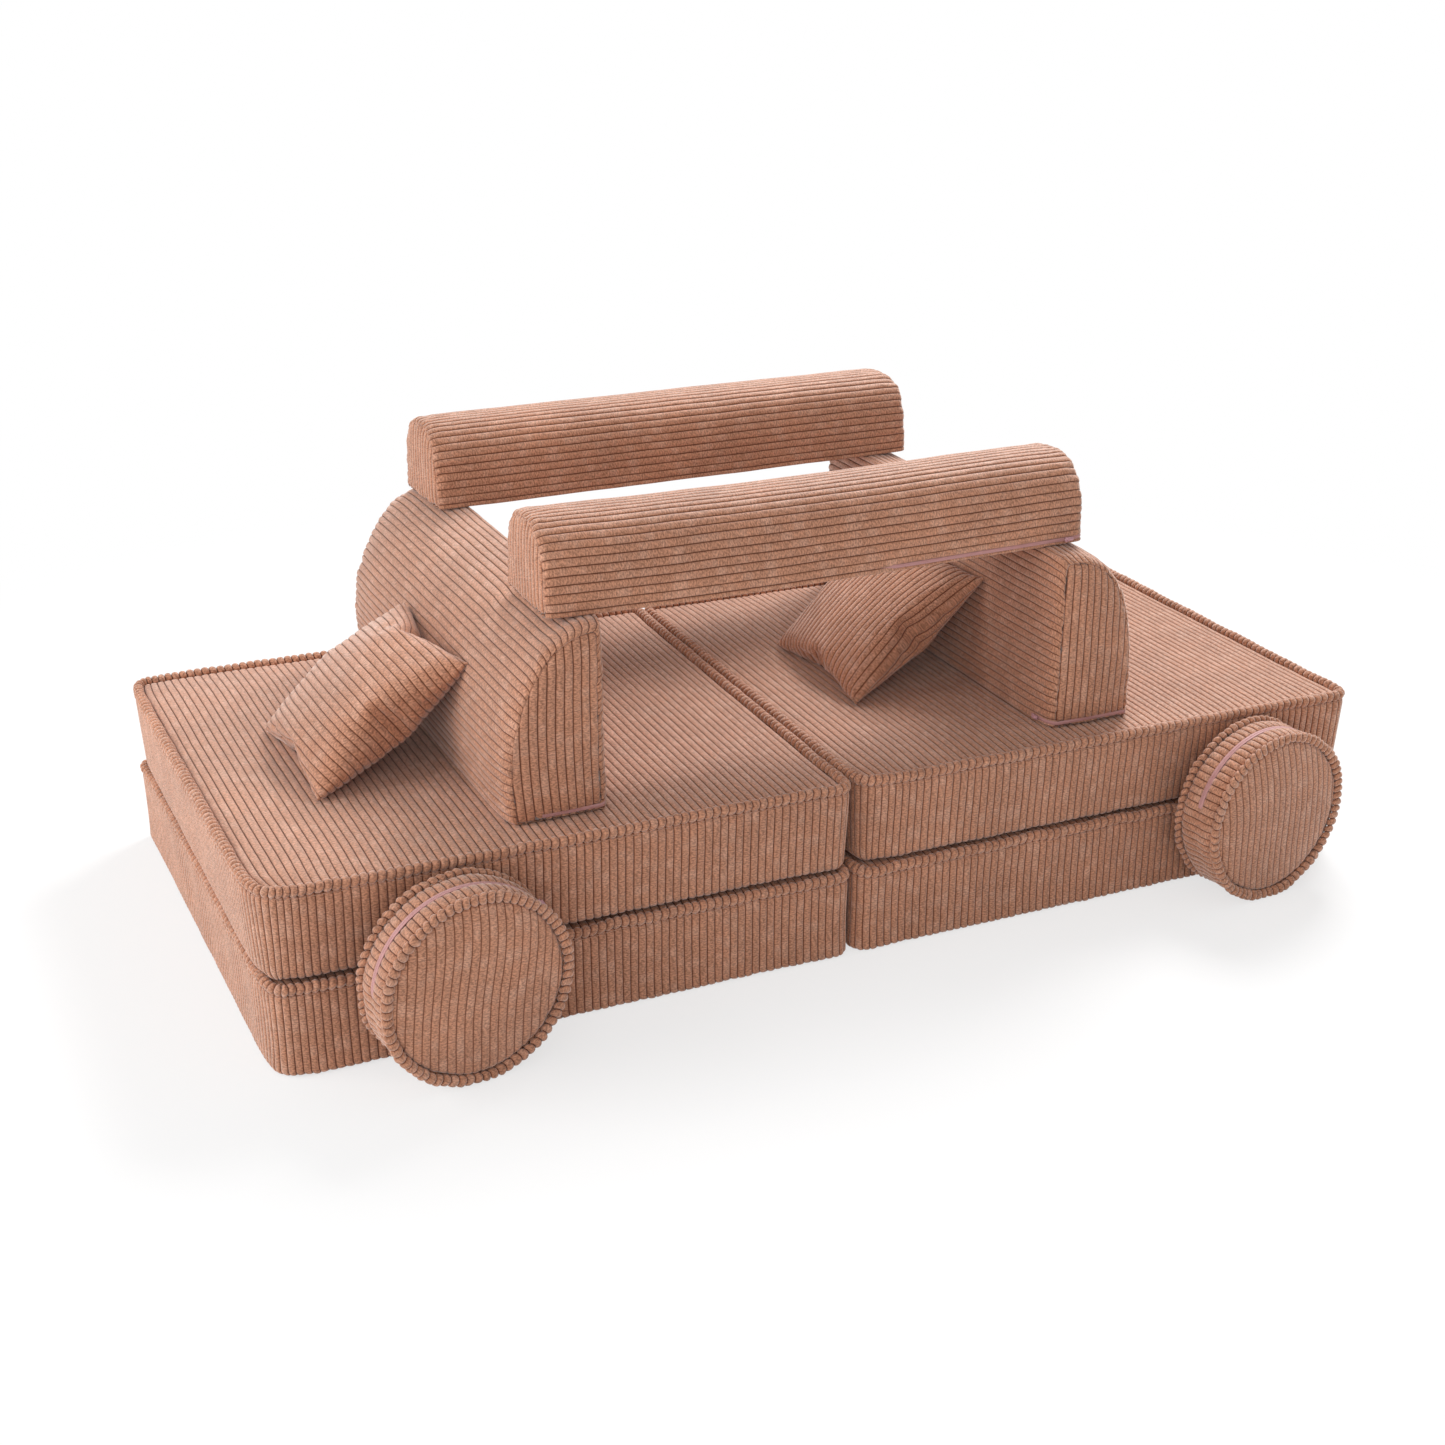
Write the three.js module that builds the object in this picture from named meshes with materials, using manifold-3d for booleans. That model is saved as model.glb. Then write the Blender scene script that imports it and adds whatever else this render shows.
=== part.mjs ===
// Modular foam play sofa laid out as a play car. Millimetres, +Z up, front towards -Y.
// Twelve loose modules: four mattresses, two quarter-round supports, two half-round bars, two
// round wheel cushions and two pillows. Each has a zipped corduroy cover over its own filling.
import * as THREE from 'three';
import { mergeVertices } from 'three/addons/utils/BufferGeometryUtils.js';
import Module from 'manifold-3d';

const wasm = await Module();
wasm.setup();

// Sizes shared by every module
const clearance = 0.3;
const coverWall = 3;
const cutOverrun = 2;

// Square mattress: crowned panel, boxing strip drawn in between its corners, rounded underside
const mattress = {
  length: 799,
  depth: 758,
  height: 125,
  cornerRadius: 38,
  edgeRadius: 16,
  crown: 5,
  crownRun: 110,
  drawIn: 4,
  flatMiddleShare: 0.8,
  zipHeight: 58,
};
const stackGap = 2;
const weltSize = { width: 13, height: 13 };

// Quarter-round support: one flat side, a base, and a curved side that meets the top
const support = {
  length: 700,
  width: 136,
  height: 250,
  roundness: 2.5,
  edgeRadius: 10,
  baseChamfer: 3,
  topChamfer: 9,
  leftZipStart: 44,
  rightZipStart: 14,
};

// Half-round bar: flat base and a domed top
const bar = {
  width: 160,
  height: 113,
  roundness: 2.8,
  edgeRadius: 10,
  baseChamfer: 3,
  zipStart: 116,
  leftBearing: 59,
  rightBearing: 67,
};

// Round cushion that stands as a wheel
const wheel = {
  radius: 125,
  thickness: 82,
  stripSink: 3,
  crown: 5,
  crownRun: 70,
  weltWidth: 12,
  weltHeight: 13,
};

// Knife-edged pillow
const pillow = {
  side: 258,
  thickness: 92,
  seamThickness: 9,
  wall: 2.5,
  drawIn: 10,
  flatMiddleShare: 0.71,
  domePower: 0.55,
  zipLength: 150,
};

// Zip tape with its coil, and the slider that runs on the coil
const zip = {
  width: 10,
  seamWidth: 6,
  coilWidth: 3.6,
  coilHeight: 1.2,
  lift: 4,
  endMargin: 24,
};
const sliderSize = { length: 14, flange: 1.4, roof: 1.6, lugLength: 7, lugWidth: 2.4, lugHeight: 1.8 };
const sliderOffset = 12;

// Where the modules stand on the two stacks
const cabinLength = 649;
const cabinOffset = 2.5;
const supportSetback = 61;
const nearBarSetback = 41;
const farBarSetback = 1;
const farBarShift = 5;
const leftWheelFromEnd = 254;
const rightWheelFromEnd = 185;
const leftPillowSetback = 359;
const rightPillowSetback = 371;

// Angles, in degrees
const leftSupportTurn = 1.3;
const farBarTurn = 1.9;
const leftWheelTurn = 9;
const rightWheelTurn = 7;
const leftPillowLean = 35.5;
const rightPillowLean = 38;
const leftPillowTurn = 3;
const wheelZipFrom = 28;
const wheelZipTo = 192;

// Facets
const cornerSteps = 3;
const edgeSteps = 2;
const weltSides = 8;
const domeSteps = 12;
const quarterSteps = 9;
const wheelFacets = 24;
const pillowCells = 10;
const liningCells = 8;
const crownStepShares = [0, 0.3, 0.65, 1];
const liningStepShares = [0, 1];

const corduroy = { color: 0xb98c76, roughness: 0.95, metalness: 0 };
const foam = { color: 0xefe6d2, roughness: 0.9, metalness: 0 };
const wadding = { color: 0xf4f2ee, roughness: 1, metalness: 0 };
const zipTape = { color: 0xcda0a5, roughness: 0.7, metalness: 0 };
const sliderPaint = { color: 0xc6989e, roughness: 0.45, metalness: 0 };

const radians = THREE.MathUtils.degToRad;
const vec = (x, y, z) => new THREE.Vector3(x, y, z);

// Mesh building

function indexedGeometry(points, triangles) {
  const geometry = new THREE.BufferGeometry();
  geometry.setAttribute('position', new THREE.Float32BufferAttribute(points.flatMap((p) => p.toArray()), 3));
  geometry.setIndex(triangles);
  return facingOut(geometry);
}

function signedVolume(geometry) {
  const p = geometry.attributes.position;
  const index = geometry.index.array;
  const corners = [vec(0, 0, 0), vec(0, 0, 0), vec(0, 0, 0)];
  let sum = 0;
  for (let i = 0; i < index.length; i += 3) {
    corners.forEach((corner, k) => corner.fromBufferAttribute(p, index[i + k]));
    sum += corners[0].dot(corners[1].clone().cross(corners[2]));
  }
  return sum;
}

function facingOut(geometry) {
  if (signedVolume(geometry) < 0) {
    const index = geometry.index.array;
    for (let i = 0; i < index.length; i += 3) {
      [index[i], index[i + 1]] = [index[i + 1], index[i]];
    }
  }
  return geometry;
}

// A closed solid through rings of points: the end rings are filled by a fan about their middle
function loft(rings) {
  const count = rings[0].length;
  const points = rings.flat();
  const triangles = bands(rings.length, count, false);
  [0, rings.length - 1].forEach((row) => {
    const middle = rings[row].reduce((sum, p) => sum.add(p), vec(0, 0, 0)).divideScalar(count);
    const hub = points.push(middle) - 1;
    for (let i = 0; i < count; i += 1) {
      const a = row * count + i;
      const b = row * count + ((i + 1) % count);
      triangles.push(...(row === 0 ? [hub, b, a] : [hub, a, b]));
    }
  });
  return indexedGeometry(points, triangles);
}

// A closed ring-shaped solid: the last ring joins the first
function loopLoft(rings) {
  return indexedGeometry(rings.flat(), bands(rings.length, rings[0].length, true));
}

function bands(rowCount, count, closed) {
  const triangles = [];
  const last = closed ? rowCount : rowCount - 1;
  for (let row = 0; row < last; row += 1) {
    const next = (row + 1) % rowCount;
    for (let i = 0; i < count; i += 1) {
      const j = (i + 1) % count;
      const [a, b, c, d] = [row * count + i, row * count + j, next * count + j, next * count + i];
      triangles.push(a, b, c, a, c, d);
    }
  }
  return triangles;
}

// A closed band that follows stations, each with a point, an outward and a sideways direction
function sweep(stations, section) {
  return loft(stations.map(({ point, out, side }) => (
    section.map(([o, s]) => point.clone().addScaledVector(out, o).addScaledVector(side, s))
  )));
}

function toManifold(geometry) {
  const plain = geometry.clone();
  plain.deleteAttribute('normal');
  plain.deleteAttribute('uv');
  const merged = mergeVertices(plain);
  return new wasm.Manifold(new wasm.Mesh({
    numProp: 3,
    vertProperties: new Float32Array(merged.attributes.position.array),
    triVerts: new Uint32Array(merged.index.array),
  }));
}

function fromManifold(solid) {
  const mesh = solid.getMesh();
  const geometry = new THREE.BufferGeometry();
  geometry.setAttribute('position', new THREE.BufferAttribute(new Float32Array(mesh.vertProperties), 3));
  geometry.setIndex(Array.from(mesh.triVerts));
  return geometry;
}

function shellWithSlot(outer, cavity, slot) {
  return fromManifold(toManifold(outer).subtract(toManifold(cavity)).subtract(toManifold(slot)));
}

function joined(a, b) {
  return fromManifold(toManifold(a).add(toManifold(b)));
}

function named(name, geometry, finish) {
  geometry.computeVertexNormals();
  const mesh = new THREE.Mesh(geometry, new THREE.MeshStandardMaterial(finish));
  mesh.name = name;
  return mesh;
}

// Zips: the tape fills the slot through the cover and its coil stands proud of it

function tapeSection(width, wall) {
  const half = width / 2;
  const coil = zip.coilWidth / 2;
  return [[-wall, -half], [0, -half], [0, -coil], [zip.coilHeight, -coil],
    [zip.coilHeight, coil], [0, coil], [0, half], [-wall, half]];
}

function slotSection(width, wall) {
  const half = width / 2 + clearance;
  return [[-wall - cutOverrun, -half], [cutOverrun, -half], [cutOverrun, half], [-wall - cutOverrun, half]];
}

// The slot is longer than the tape by the clearance at each end
function lengthened(stations) {
  const ends = stations.map((station) => ({ ...station, point: station.point.clone() }));
  const first = ends[0].point;
  const last = ends[ends.length - 1].point;
  const start = first.clone().sub(ends[1].point).setLength(clearance);
  const finish = last.clone().sub(ends[ends.length - 2].point).setLength(clearance);
  first.add(start);
  last.add(finish);
  return ends;
}

// A channel that straddles the coil, with a lug on its roof. Its length runs along side x out.
function slider({ point, out, side }) {
  const inner = zip.coilWidth / 2 + clearance;
  const outer = inner + sliderSize.flange;
  const ceiling = zip.coilHeight + clearance;
  const roof = ceiling + sliderSize.roof;
  const frame = new THREE.Matrix4().makeBasis(side, out, new THREE.Vector3().crossVectors(side, out));
  const run = (length, section) => {
    const shape = new THREE.Shape(section.map(([s, o]) => new THREE.Vector2(s, o)));
    const prism = new THREE.ExtrudeGeometry(shape, { depth: length, bevelEnabled: false });
    return prism.translate(0, 0, -length / 2).applyMatrix4(frame).translate(...point.toArray());
  };
  const channel = run(sliderSize.length, [[-outer, clearance], [-inner, clearance], [-inner, ceiling],
    [inner, ceiling], [inner, clearance], [outer, clearance], [outer, roof], [-outer, roof]]);
  const lug = sliderSize.lugWidth / 2;
  const lugTop = roof + sliderSize.lugHeight;
  const lugFoot = roof - sliderSize.roof / 2;
  const bridge = run(sliderSize.lugLength, [[-lug, lugFoot], [lug, lugFoot], [lug, lugTop], [-lug, lugTop]]);
  return joined(channel, bridge);
}

// Mattress

// How far a side is drawn in, as a share, at a place along it: none at the corners, all of it
// over the flat middle
function drawnInShare(along, flatShare) {
  return Math.min(1, Math.max(0, (1 - Math.abs(along)) / (1 - flatShare)));
}

function mattressOutline(inset, z) {
  const halfX = mattress.length / 2 - inset;
  const halfY = mattress.depth / 2 - inset;
  const radius = Math.max(mattress.cornerRadius - inset, mattress.cornerRadius / 4);
  const ring = [];
  for (let quarter = 0; quarter < 4; quarter += 1) {
    const [hx, hy] = quarter % 2 === 0 ? [halfX, halfY] : [halfY, halfX];
    const local = [];
    [-1, 1].forEach((side) => {
      const y = side * mattress.flatMiddleShare * (hy - radius);
      local.push([hx - mattress.drawIn, y]);
    });
    for (let i = 0; i <= cornerSteps; i += 1) {
      const a = radians(90) * (i / cornerSteps);
      local.push([hx - radius + radius * Math.cos(a), hy - radius + radius * Math.sin(a)]);
    }
    const turn = radians(90) * quarter;
    local.forEach(([x, y]) => ring.push(vec(x, y, z).applyAxisAngle(vec(0, 0, 1), turn)));
  }
  return ring;
}

// The mattress's body, or what fits inside it at an offset from its surface
function mattressRings(offset, steps, crownShares) {
  const seat = weltSize.width + clearance + offset;
  const ledge = mattress.height - weltSize.height - clearance - offset;
  const rings = [];
  for (let i = 0; i <= steps; i += 1) {
    const a = radians(90) * (i / steps);
    const reach = mattress.edgeRadius - offset;
    rings.push([mattress.edgeRadius - reach * Math.sin(a), mattress.edgeRadius - reach * Math.cos(a)]);
  }
  rings.push([offset, ledge], [seat, ledge]);
  crownShares.forEach((share) => {
    const drop = mattress.crown * (1 - share) ** 2;
    rings.push([seat + mattress.crownRun * share, mattress.height - offset - drop]);
  });
  return rings.map(([inset, z]) => mattressOutline(inset, z));
}

function mattressWelt() {
  const rings = [];
  for (let i = 0; i < weltSides; i += 1) {
    const a = radians(360) * (i / weltSides);
    const inset = (weltSize.width / 2) * (1 - Math.cos(a));
    rings.push(mattressOutline(inset, mattress.height - (weltSize.height / 2) * (1 - Math.sin(a))));
  }
  return loopLoft(rings);
}

function mattressStations() {
  const y = mattress.depth / 2 - mattress.drawIn;
  const half = mattress.flatMiddleShare * (mattress.length / 2 - mattress.cornerRadius) - zip.endMargin;
  return [-1, 1].map((end) => ({
    point: vec(end * half, y, mattress.zipHeight), out: vec(0, 1, 0), side: vec(0, 0, 1),
  }));
}

function makeMattress(name) {
  const group = new THREE.Group();
  const tape = mattressStations();
  const cover = shellWithSlot(
    loft(mattressRings(0, edgeSteps, crownStepShares)),
    loft(mattressRings(coverWall, 1, liningStepShares)),
    sweep(lengthened(tape), slotSection(zip.width, coverWall)),
  );
  const start = tape[0].point.clone().add(vec(sliderOffset, 0, 0));
  group.add(
    named(`${name}_cover`, cover, corduroy),
    named(`${name}_core`, loft(mattressRings(coverWall + clearance, 1, liningStepShares)), foam),
    named(`${name}_welt`, mattressWelt(), corduroy),
    named(`${name}_zip`, sweep(tape, tapeSection(zip.width, coverWall)), zipTape),
    named(`${name}_slider`, slider({ ...tape[0], point: start }), sliderPaint),
  );
  return group;
}

// Bolsters: the supports and the bars. Length along local Y, base at z 0. flatSide is +1 or -1
// where the section has one upright flat side, and 0 where it is domed on both sides.

const zipHeight = zip.lift + zip.width / 2;
const zipStripTop = zip.lift + zip.width + clearance;

function bolsterSection(spec, offset, inset) {
  const reach = spec.width / 2 - inset;
  const top = spec.height - inset;
  const base = offset;
  const upright = (side) => [[side * reach, zipStripTop + offset], [side * reach, base + spec.baseChamfer],
    [side * (reach - spec.baseChamfer), base]];
  const power = 2 / spec.roundness;
  const points = [];
  if (spec.flatSide === 0) {
    points.push(...upright(1).reverse());
    for (let i = 1; i < domeSteps; i += 1) {
      const a = radians(180) * (i / domeSteps);
      const x = reach * Math.sign(Math.cos(a)) * Math.abs(Math.cos(a)) ** power;
      points.push([x, base + (top - base) * Math.sin(a) ** power]);
    }
    points.push(...upright(-1));
    return points;
  }
  const flat = spec.flatSide;
  points.push(...upright(-flat).reverse());
  for (let i = 1; i < quarterSteps; i += 1) {
    const a = radians(90) * (i / quarterSteps);
    const x = flat * (reach - 2 * reach * Math.cos(a) ** power);
    points.push([x, base + (top - base) * Math.sin(a) ** power]);
  }
  points.push([flat * (reach - spec.topChamfer), top], [flat * reach, top - spec.topChamfer]);
  points.push(...upright(flat));
  return points;
}

function bolsterRings(spec, offset, steps) {
  const reach = spec.edgeRadius - offset;
  const end = [];
  for (let i = 0; i <= steps; i += 1) {
    const a = radians(90) * (i / steps);
    end.push([spec.edgeRadius - reach * Math.sin(a), spec.edgeRadius - reach * Math.cos(a)]);
  }
  const ring = (side) => ([inset, depth]) => (
    bolsterSection(spec, offset, inset).map(([x, z]) => vec(x, side * (spec.length / 2 - depth), z))
  );
  return [...end.map(ring(-1)), ...end.map(ring(1)).reverse()];
}

// The zip starts on the cap at local -Y, turns the corner and runs along one side
function bolsterStations(spec) {
  const s = spec.zipSide;
  const half = spec.width / 2;
  const cap = -spec.length / 2;
  const up = vec(0, 0, 1);
  const corner = vec(s * (half - spec.edgeRadius), cap + spec.edgeRadius, zipHeight);
  const first = vec(s * (spec.zipStart - half), cap, zipHeight);
  const stations = [{ point: first, out: vec(0, -1, 0), side: up }];
  for (let i = 0; i <= edgeSteps; i += 1) {
    const a = radians(90) * (i / edgeSteps);
    const out = vec(s * Math.sin(a), -Math.cos(a), 0);
    stations.push({ point: corner.clone().addScaledVector(out, spec.edgeRadius), out, side: up });
  }
  const finish = vec(s * half, -cap - spec.edgeRadius - zip.endMargin, zipHeight);
  stations.push({ point: finish, out: vec(s, 0, 0), side: up });
  return stations;
}

function makeBolster(name, spec) {
  const group = new THREE.Group();
  const tape = bolsterStations(spec);
  const cover = shellWithSlot(
    loft(bolsterRings(spec, 0, edgeSteps)),
    loft(bolsterRings(spec, coverWall, 1)),
    sweep(lengthened(tape), slotSection(zip.width, coverWall)),
  );
  const corner = tape[tape.length - 2];
  const start = corner.point.clone().add(vec(0, sliderOffset, 0));
  group.add(
    named(`${name}_cover`, cover, corduroy),
    named(`${name}_core`, loft(bolsterRings(spec, coverWall + clearance, 1)), foam),
    named(`${name}_zip`, sweep(tape, tapeSection(zip.width, coverWall)), zipTape),
    named(`${name}_slider`, slider({ ...corner, point: start }), sliderPaint),
  );
  return group;
}

// How far the section reaches on one side at a height, along its facets
function bolsterReach(spec, side, z) {
  const section = bolsterSection(spec, 0, 0);
  let reach = -Infinity;
  section.forEach(([x0, z0], i) => {
    const [x1, z1] = section[(i + 1) % section.length];
    if (z0 !== z1 && (z - z0) * (z - z1) <= 0) {
      reach = Math.max(reach, side * (x0 + (x1 - x0) * ((z - z0) / (z1 - z0))));
    }
  });
  return reach;
}

// Wheel: axis along local Y, centre at the origin

function wheelRing(radius, y) {
  const ring = [];
  for (let i = 0; i < wheelFacets; i += 1) {
    const a = radians(360) * (i / wheelFacets) - radians(90);
    ring.push(vec(radius * Math.cos(a), y, radius * Math.sin(a)));
  }
  return ring;
}

function wheelRings(offset, crownShares) {
  const seat = wheel.radius - wheel.weltHeight - clearance - offset;
  const ledge = wheel.thickness / 2 - wheel.weltWidth - clearance - offset;
  const face = crownShares.map((share) => {
    const drop = wheel.crown * (1 - share) ** 2;
    return [seat - wheel.crownRun * share, wheel.thickness / 2 - offset - drop];
  }).reverse();
  face.push([seat, ledge], [stripRadius - offset, ledge]);
  const back = face.map(([radius, y]) => wheelRing(radius, y));
  const front = face.map(([radius, y]) => wheelRing(radius, -y)).reverse();
  return [...back, ...front];
}

function wheelWelt(side) {
  const rings = [];
  for (let i = 0; i < weltSides; i += 1) {
    const a = radians(360) * (i / weltSides) + radians(90);
    const radius = wheel.radius - (wheel.weltHeight / 2) * (1 - Math.sin(a));
    const y = wheel.thickness / 2 - (wheel.weltWidth / 2) * (1 - Math.cos(a));
    rings.push(wheelRing(radius, side * y));
  }
  return loopLoft(rings);
}

const stripRadius = wheel.radius - wheel.stripSink;

function rimStation(angle) {
  const out = vec(Math.cos(angle), 0, Math.sin(angle));
  return { point: out.clone().multiplyScalar(stripRadius), out, side: vec(0, 1, 0) };
}

// The tape has two facets for each facet of the strip, so that its slider runs close to it
function wheelStations() {
  const count = Math.round((2 * wheelFacets * (wheelZipTo - wheelZipFrom)) / 360);
  const stations = [];
  for (let i = 0; i <= count; i += 1) {
    stations.push(rimStation(radians(wheelZipFrom + (wheelZipTo - wheelZipFrom) * (i / count))));
  }
  return stations;
}

function makeWheel(name) {
  const group = new THREE.Group();
  const tape = wheelStations();
  const cover = shellWithSlot(
    loft(wheelRings(0, crownStepShares)),
    loft(wheelRings(coverWall, liningStepShares)),
    sweep(lengthened(tape), slotSection(zip.width, coverWall)),
  );
  const seat = rimStation(radians(wheelZipFrom) + sliderOffset / stripRadius);
  group.add(
    named(`${name}_cover`, cover, corduroy),
    named(`${name}_core`, loft(wheelRings(coverWall + clearance, liningStepShares)), foam),
    named(`${name}_front_welt`, wheelWelt(-1), corduroy),
    named(`${name}_back_welt`, wheelWelt(1), corduroy),
    named(`${name}_zip`, sweep(tape, tapeSection(zip.width, coverWall)), zipTape),
    named(`${name}_slider`, slider(seat), sliderPaint),
  );
  return group;
}

// Pillow: local X up its slope, local Y along its lower edge, local Z its upper side. Its four
// seams are drawn in between the corners, and it swells to its full thickness in the middle.

function pillowForm(offset, cells) {
  const half = pillow.side / 2 - offset;
  const seam = pillow.seamThickness / 2 - offset;
  const swell = pillow.thickness / 2 - offset - seam;
  const place = (i) => Math.sin(radians(90) * ((2 * i) / cells - 1));
  const reach = (along) => half - pillow.drawIn * drawnInShare(along, pillow.flatMiddleShare);
  const at = (i, j, side) => {
    const [u, v] = [place(i), place(j)];
    const dome = ((1 - u * u) * (1 - v * v)) ** pillow.domePower;
    return vec(u * reach(v), v * reach(u), side * (seam + swell * dome));
  };
  const rows = cells + 1;
  const points = [];
  [1, -1].forEach((side) => {
    for (let j = 0; j < rows; j += 1) {
      for (let i = 0; i < rows; i += 1) points.push(at(i, j, side));
    }
  });
  const id = (i, j, side) => (side > 0 ? 0 : rows * rows) + j * rows + i;
  const triangles = [];
  for (let j = 0; j < cells; j += 1) {
    for (let i = 0; i < cells; i += 1) {
      const [a, b, c, d] = [id(i, j, 1), id(i + 1, j, 1), id(i + 1, j + 1, 1), id(i, j + 1, 1)];
      const [e, f, g, h] = [id(i, j, -1), id(i + 1, j, -1), id(i + 1, j + 1, -1), id(i, j + 1, -1)];
      triangles.push(a, b, c, a, c, d, e, g, f, e, h, g);
    }
  }
  const rim = [];
  for (let k = 0; k < cells; k += 1) rim.push([k, 0]);
  for (let k = 0; k < cells; k += 1) rim.push([cells, k]);
  for (let k = cells; k > 0; k -= 1) rim.push([k, cells]);
  for (let k = cells; k > 0; k -= 1) rim.push([0, k]);
  rim.forEach(([i, j], k) => {
    const [m, n] = rim[(k + 1) % rim.length];
    const [a, b, c, d] = [id(i, j, 1), id(m, n, 1), id(m, n, -1), id(i, j, -1)];
    triangles.push(a, c, b, a, d, c);
  });
  return indexedGeometry(points, triangles);
}

function pillowStations() {
  const y = pillow.side / 2 - pillow.drawIn;
  return [-1, 1].map((end) => ({
    point: vec(end * (pillow.zipLength / 2), y, 0), out: vec(0, 1, 0), side: vec(0, 0, 1),
  }));
}

function makePillow(name) {
  const group = new THREE.Group();
  const tape = pillowStations();
  const cover = shellWithSlot(
    pillowForm(0, pillowCells),
    pillowForm(pillow.wall, liningCells),
    sweep(lengthened(tape), slotSection(zip.seamWidth, pillow.wall)),
  );
  const start = tape[0].point.clone().add(vec(sliderOffset, 0, 0));
  group.add(
    named(`${name}_cover`, cover, corduroy),
    named(`${name}_filling`, pillowForm(pillow.wall + clearance, liningCells), wadding),
    named(`${name}_zip`, sweep(tape, tapeSection(zip.seamWidth, pillow.wall)), zipTape),
    named(`${name}_slider`, slider({ ...tape[0], point: start }), sliderPaint),
  );
  return group;
}

// Placing

const assembly = new THREE.Group();
const stackX = (mattress.length + stackGap) / 2;
const upperBase = mattress.height + clearance;
const deckTop = upperBase + mattress.height;
const frontEdge = -mattress.depth / 2;

function place(module, x, y, z, turn) {
  module.position.set(x, y, z);
  module.rotation.z = radians(turn);
  assembly.add(module);
  module.updateMatrixWorld(true);
  return module;
}

function vertices(module) {
  const points = [];
  module.traverse((mesh) => {
    if (!mesh.isMesh) return;
    const p = mesh.geometry.attributes.position;
    for (let i = 0; i < p.count; i += 1) {
      points.push(vec(0, 0, 0).fromBufferAttribute(p, i).applyMatrix4(mesh.matrixWorld));
    }
  });
  return points;
}

place(makeMattress('left_lower'), -stackX, 0, 0, 0);
place(makeMattress('left_upper'), -stackX, 0, upperBase, 0);
place(makeMattress('right_lower'), stackX, 0, 0, 0);
place(makeMattress('right_upper'), stackX, 0, upperBase, 0);

// The supports' flat sides face each other across the cabin
const supportBase = deckTop + clearance;
const supportY = frontEdge + supportSetback + support.length / 2;
const leftFlat = cabinOffset - cabinLength / 2;
const rightFlat = cabinOffset + cabinLength / 2;
const leftSpec = { ...support, flatSide: 1, zipSide: 1, zipStart: support.leftZipStart };
const rightSpec = { ...support, flatSide: -1, zipSide: -1, zipStart: support.rightZipStart };
const leftSupport = place(makeBolster('left_support', leftSpec),
  leftFlat - support.width / 2, supportY, supportBase, leftSupportTurn);
const rightSupport = place(makeBolster('right_support', rightSpec),
  rightFlat + support.width / 2, supportY, supportBase, 0);

// The bars lie across the supports, each bearing on both
const barBase = supportBase + support.height + clearance;
const barSpec = { ...bar, length: cabinLength + bar.leftBearing + bar.rightBearing, flatSide: 0 };
const barX = (leftFlat - bar.leftBearing + rightFlat + bar.rightBearing) / 2;
const nearBarY = supportY - support.length / 2 + nearBarSetback + bar.width / 2;
const farBarY = supportY + support.length / 2 - farBarSetback - bar.width / 2;
place(makeBolster('near_bar', { ...barSpec, zipSide: -1 }), barX, nearBarY, barBase, 90);
place(makeBolster('far_bar', { ...barSpec, zipSide: 1 }),
  barX + farBarShift, farBarY, barBase, 90 + farBarTurn);

// Each wheel stands on the floor with the back of one side against the front of the mattress
function frontFace(x, centre) {
  const along = (x - centre) / (mattress.length / 2 - mattress.cornerRadius);
  return frontEdge + mattress.drawIn * drawnInShare(along, mattress.flatMiddleShare);
}

function leanWheel(module, x, centre, turn) {
  place(module, x, frontEdge - wheel.radius - wheel.thickness, wheel.radius, turn);
  const gap = vertices(module).map((p) => frontFace(p.x, centre) - clearance - p.y);
  module.position.y += Math.min(...gap);
  module.updateMatrixWorld(true);
}

const stackEnd = stackX + mattress.length / 2;
leanWheel(makeWheel('left_wheel'), leftWheelFromEnd - stackEnd, -stackX, leftWheelTurn);
leanWheel(makeWheel('right_wheel'), stackEnd - rightWheelFromEnd, stackX, rightWheelTurn);

// Each pillow rests on the mattress and leans on the -X side of a support
function leanPillow(module, setback, lean, turn, rest, spec) {
  const frame = new THREE.Group();
  frame.add(module);
  module.rotation.y = -radians(lean);
  place(frame, rest.position.x - spec.width - pillow.side, frontEdge + setback, deckTop, turn);
  const lowest = Math.min(...vertices(frame).map((p) => p.z));
  frame.position.z += deckTop + clearance - lowest;
  frame.updateMatrixWorld(true);
  const gap = vertices(frame).map((p) => {
    const local = rest.worldToLocal(p.clone());
    return -local.x - bolsterReach(spec, -1, local.z) - clearance;
  });
  frame.position.x += Math.min(...gap);
  frame.updateMatrixWorld(true);
}

leanPillow(makePillow('left_pillow'), leftPillowSetback, leftPillowLean, leftPillowTurn,
  leftSupport, leftSpec);
leanPillow(makePillow('right_pillow'), rightPillowSetback, rightPillowLean, 0, rightSupport, rightSpec);

// The origin is under the middle of the whole object, on the floor
const root = new THREE.Group();
root.add(assembly);
root.updateMatrixWorld(true);
const bounds = new THREE.Box3().setFromObject(root, true);
const middle = bounds.getCenter(vec(0, 0, 0));
assembly.position.set(-middle.x, -middle.y, -bounds.min.z);

export default root;
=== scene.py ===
"""Looks of the modular foam play sofa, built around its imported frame.

Twelve corduroy modules: four mattresses, two supports, two bars, two wheels and two pillows.
Metres, +Z up, front towards -Y. Wale units count ribs across the cloth.
"""

import logging
import math
from dataclasses import dataclass, field
from enum import Enum

import bpy
import numpy as np
from mathutils import Matrix, Vector

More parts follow.
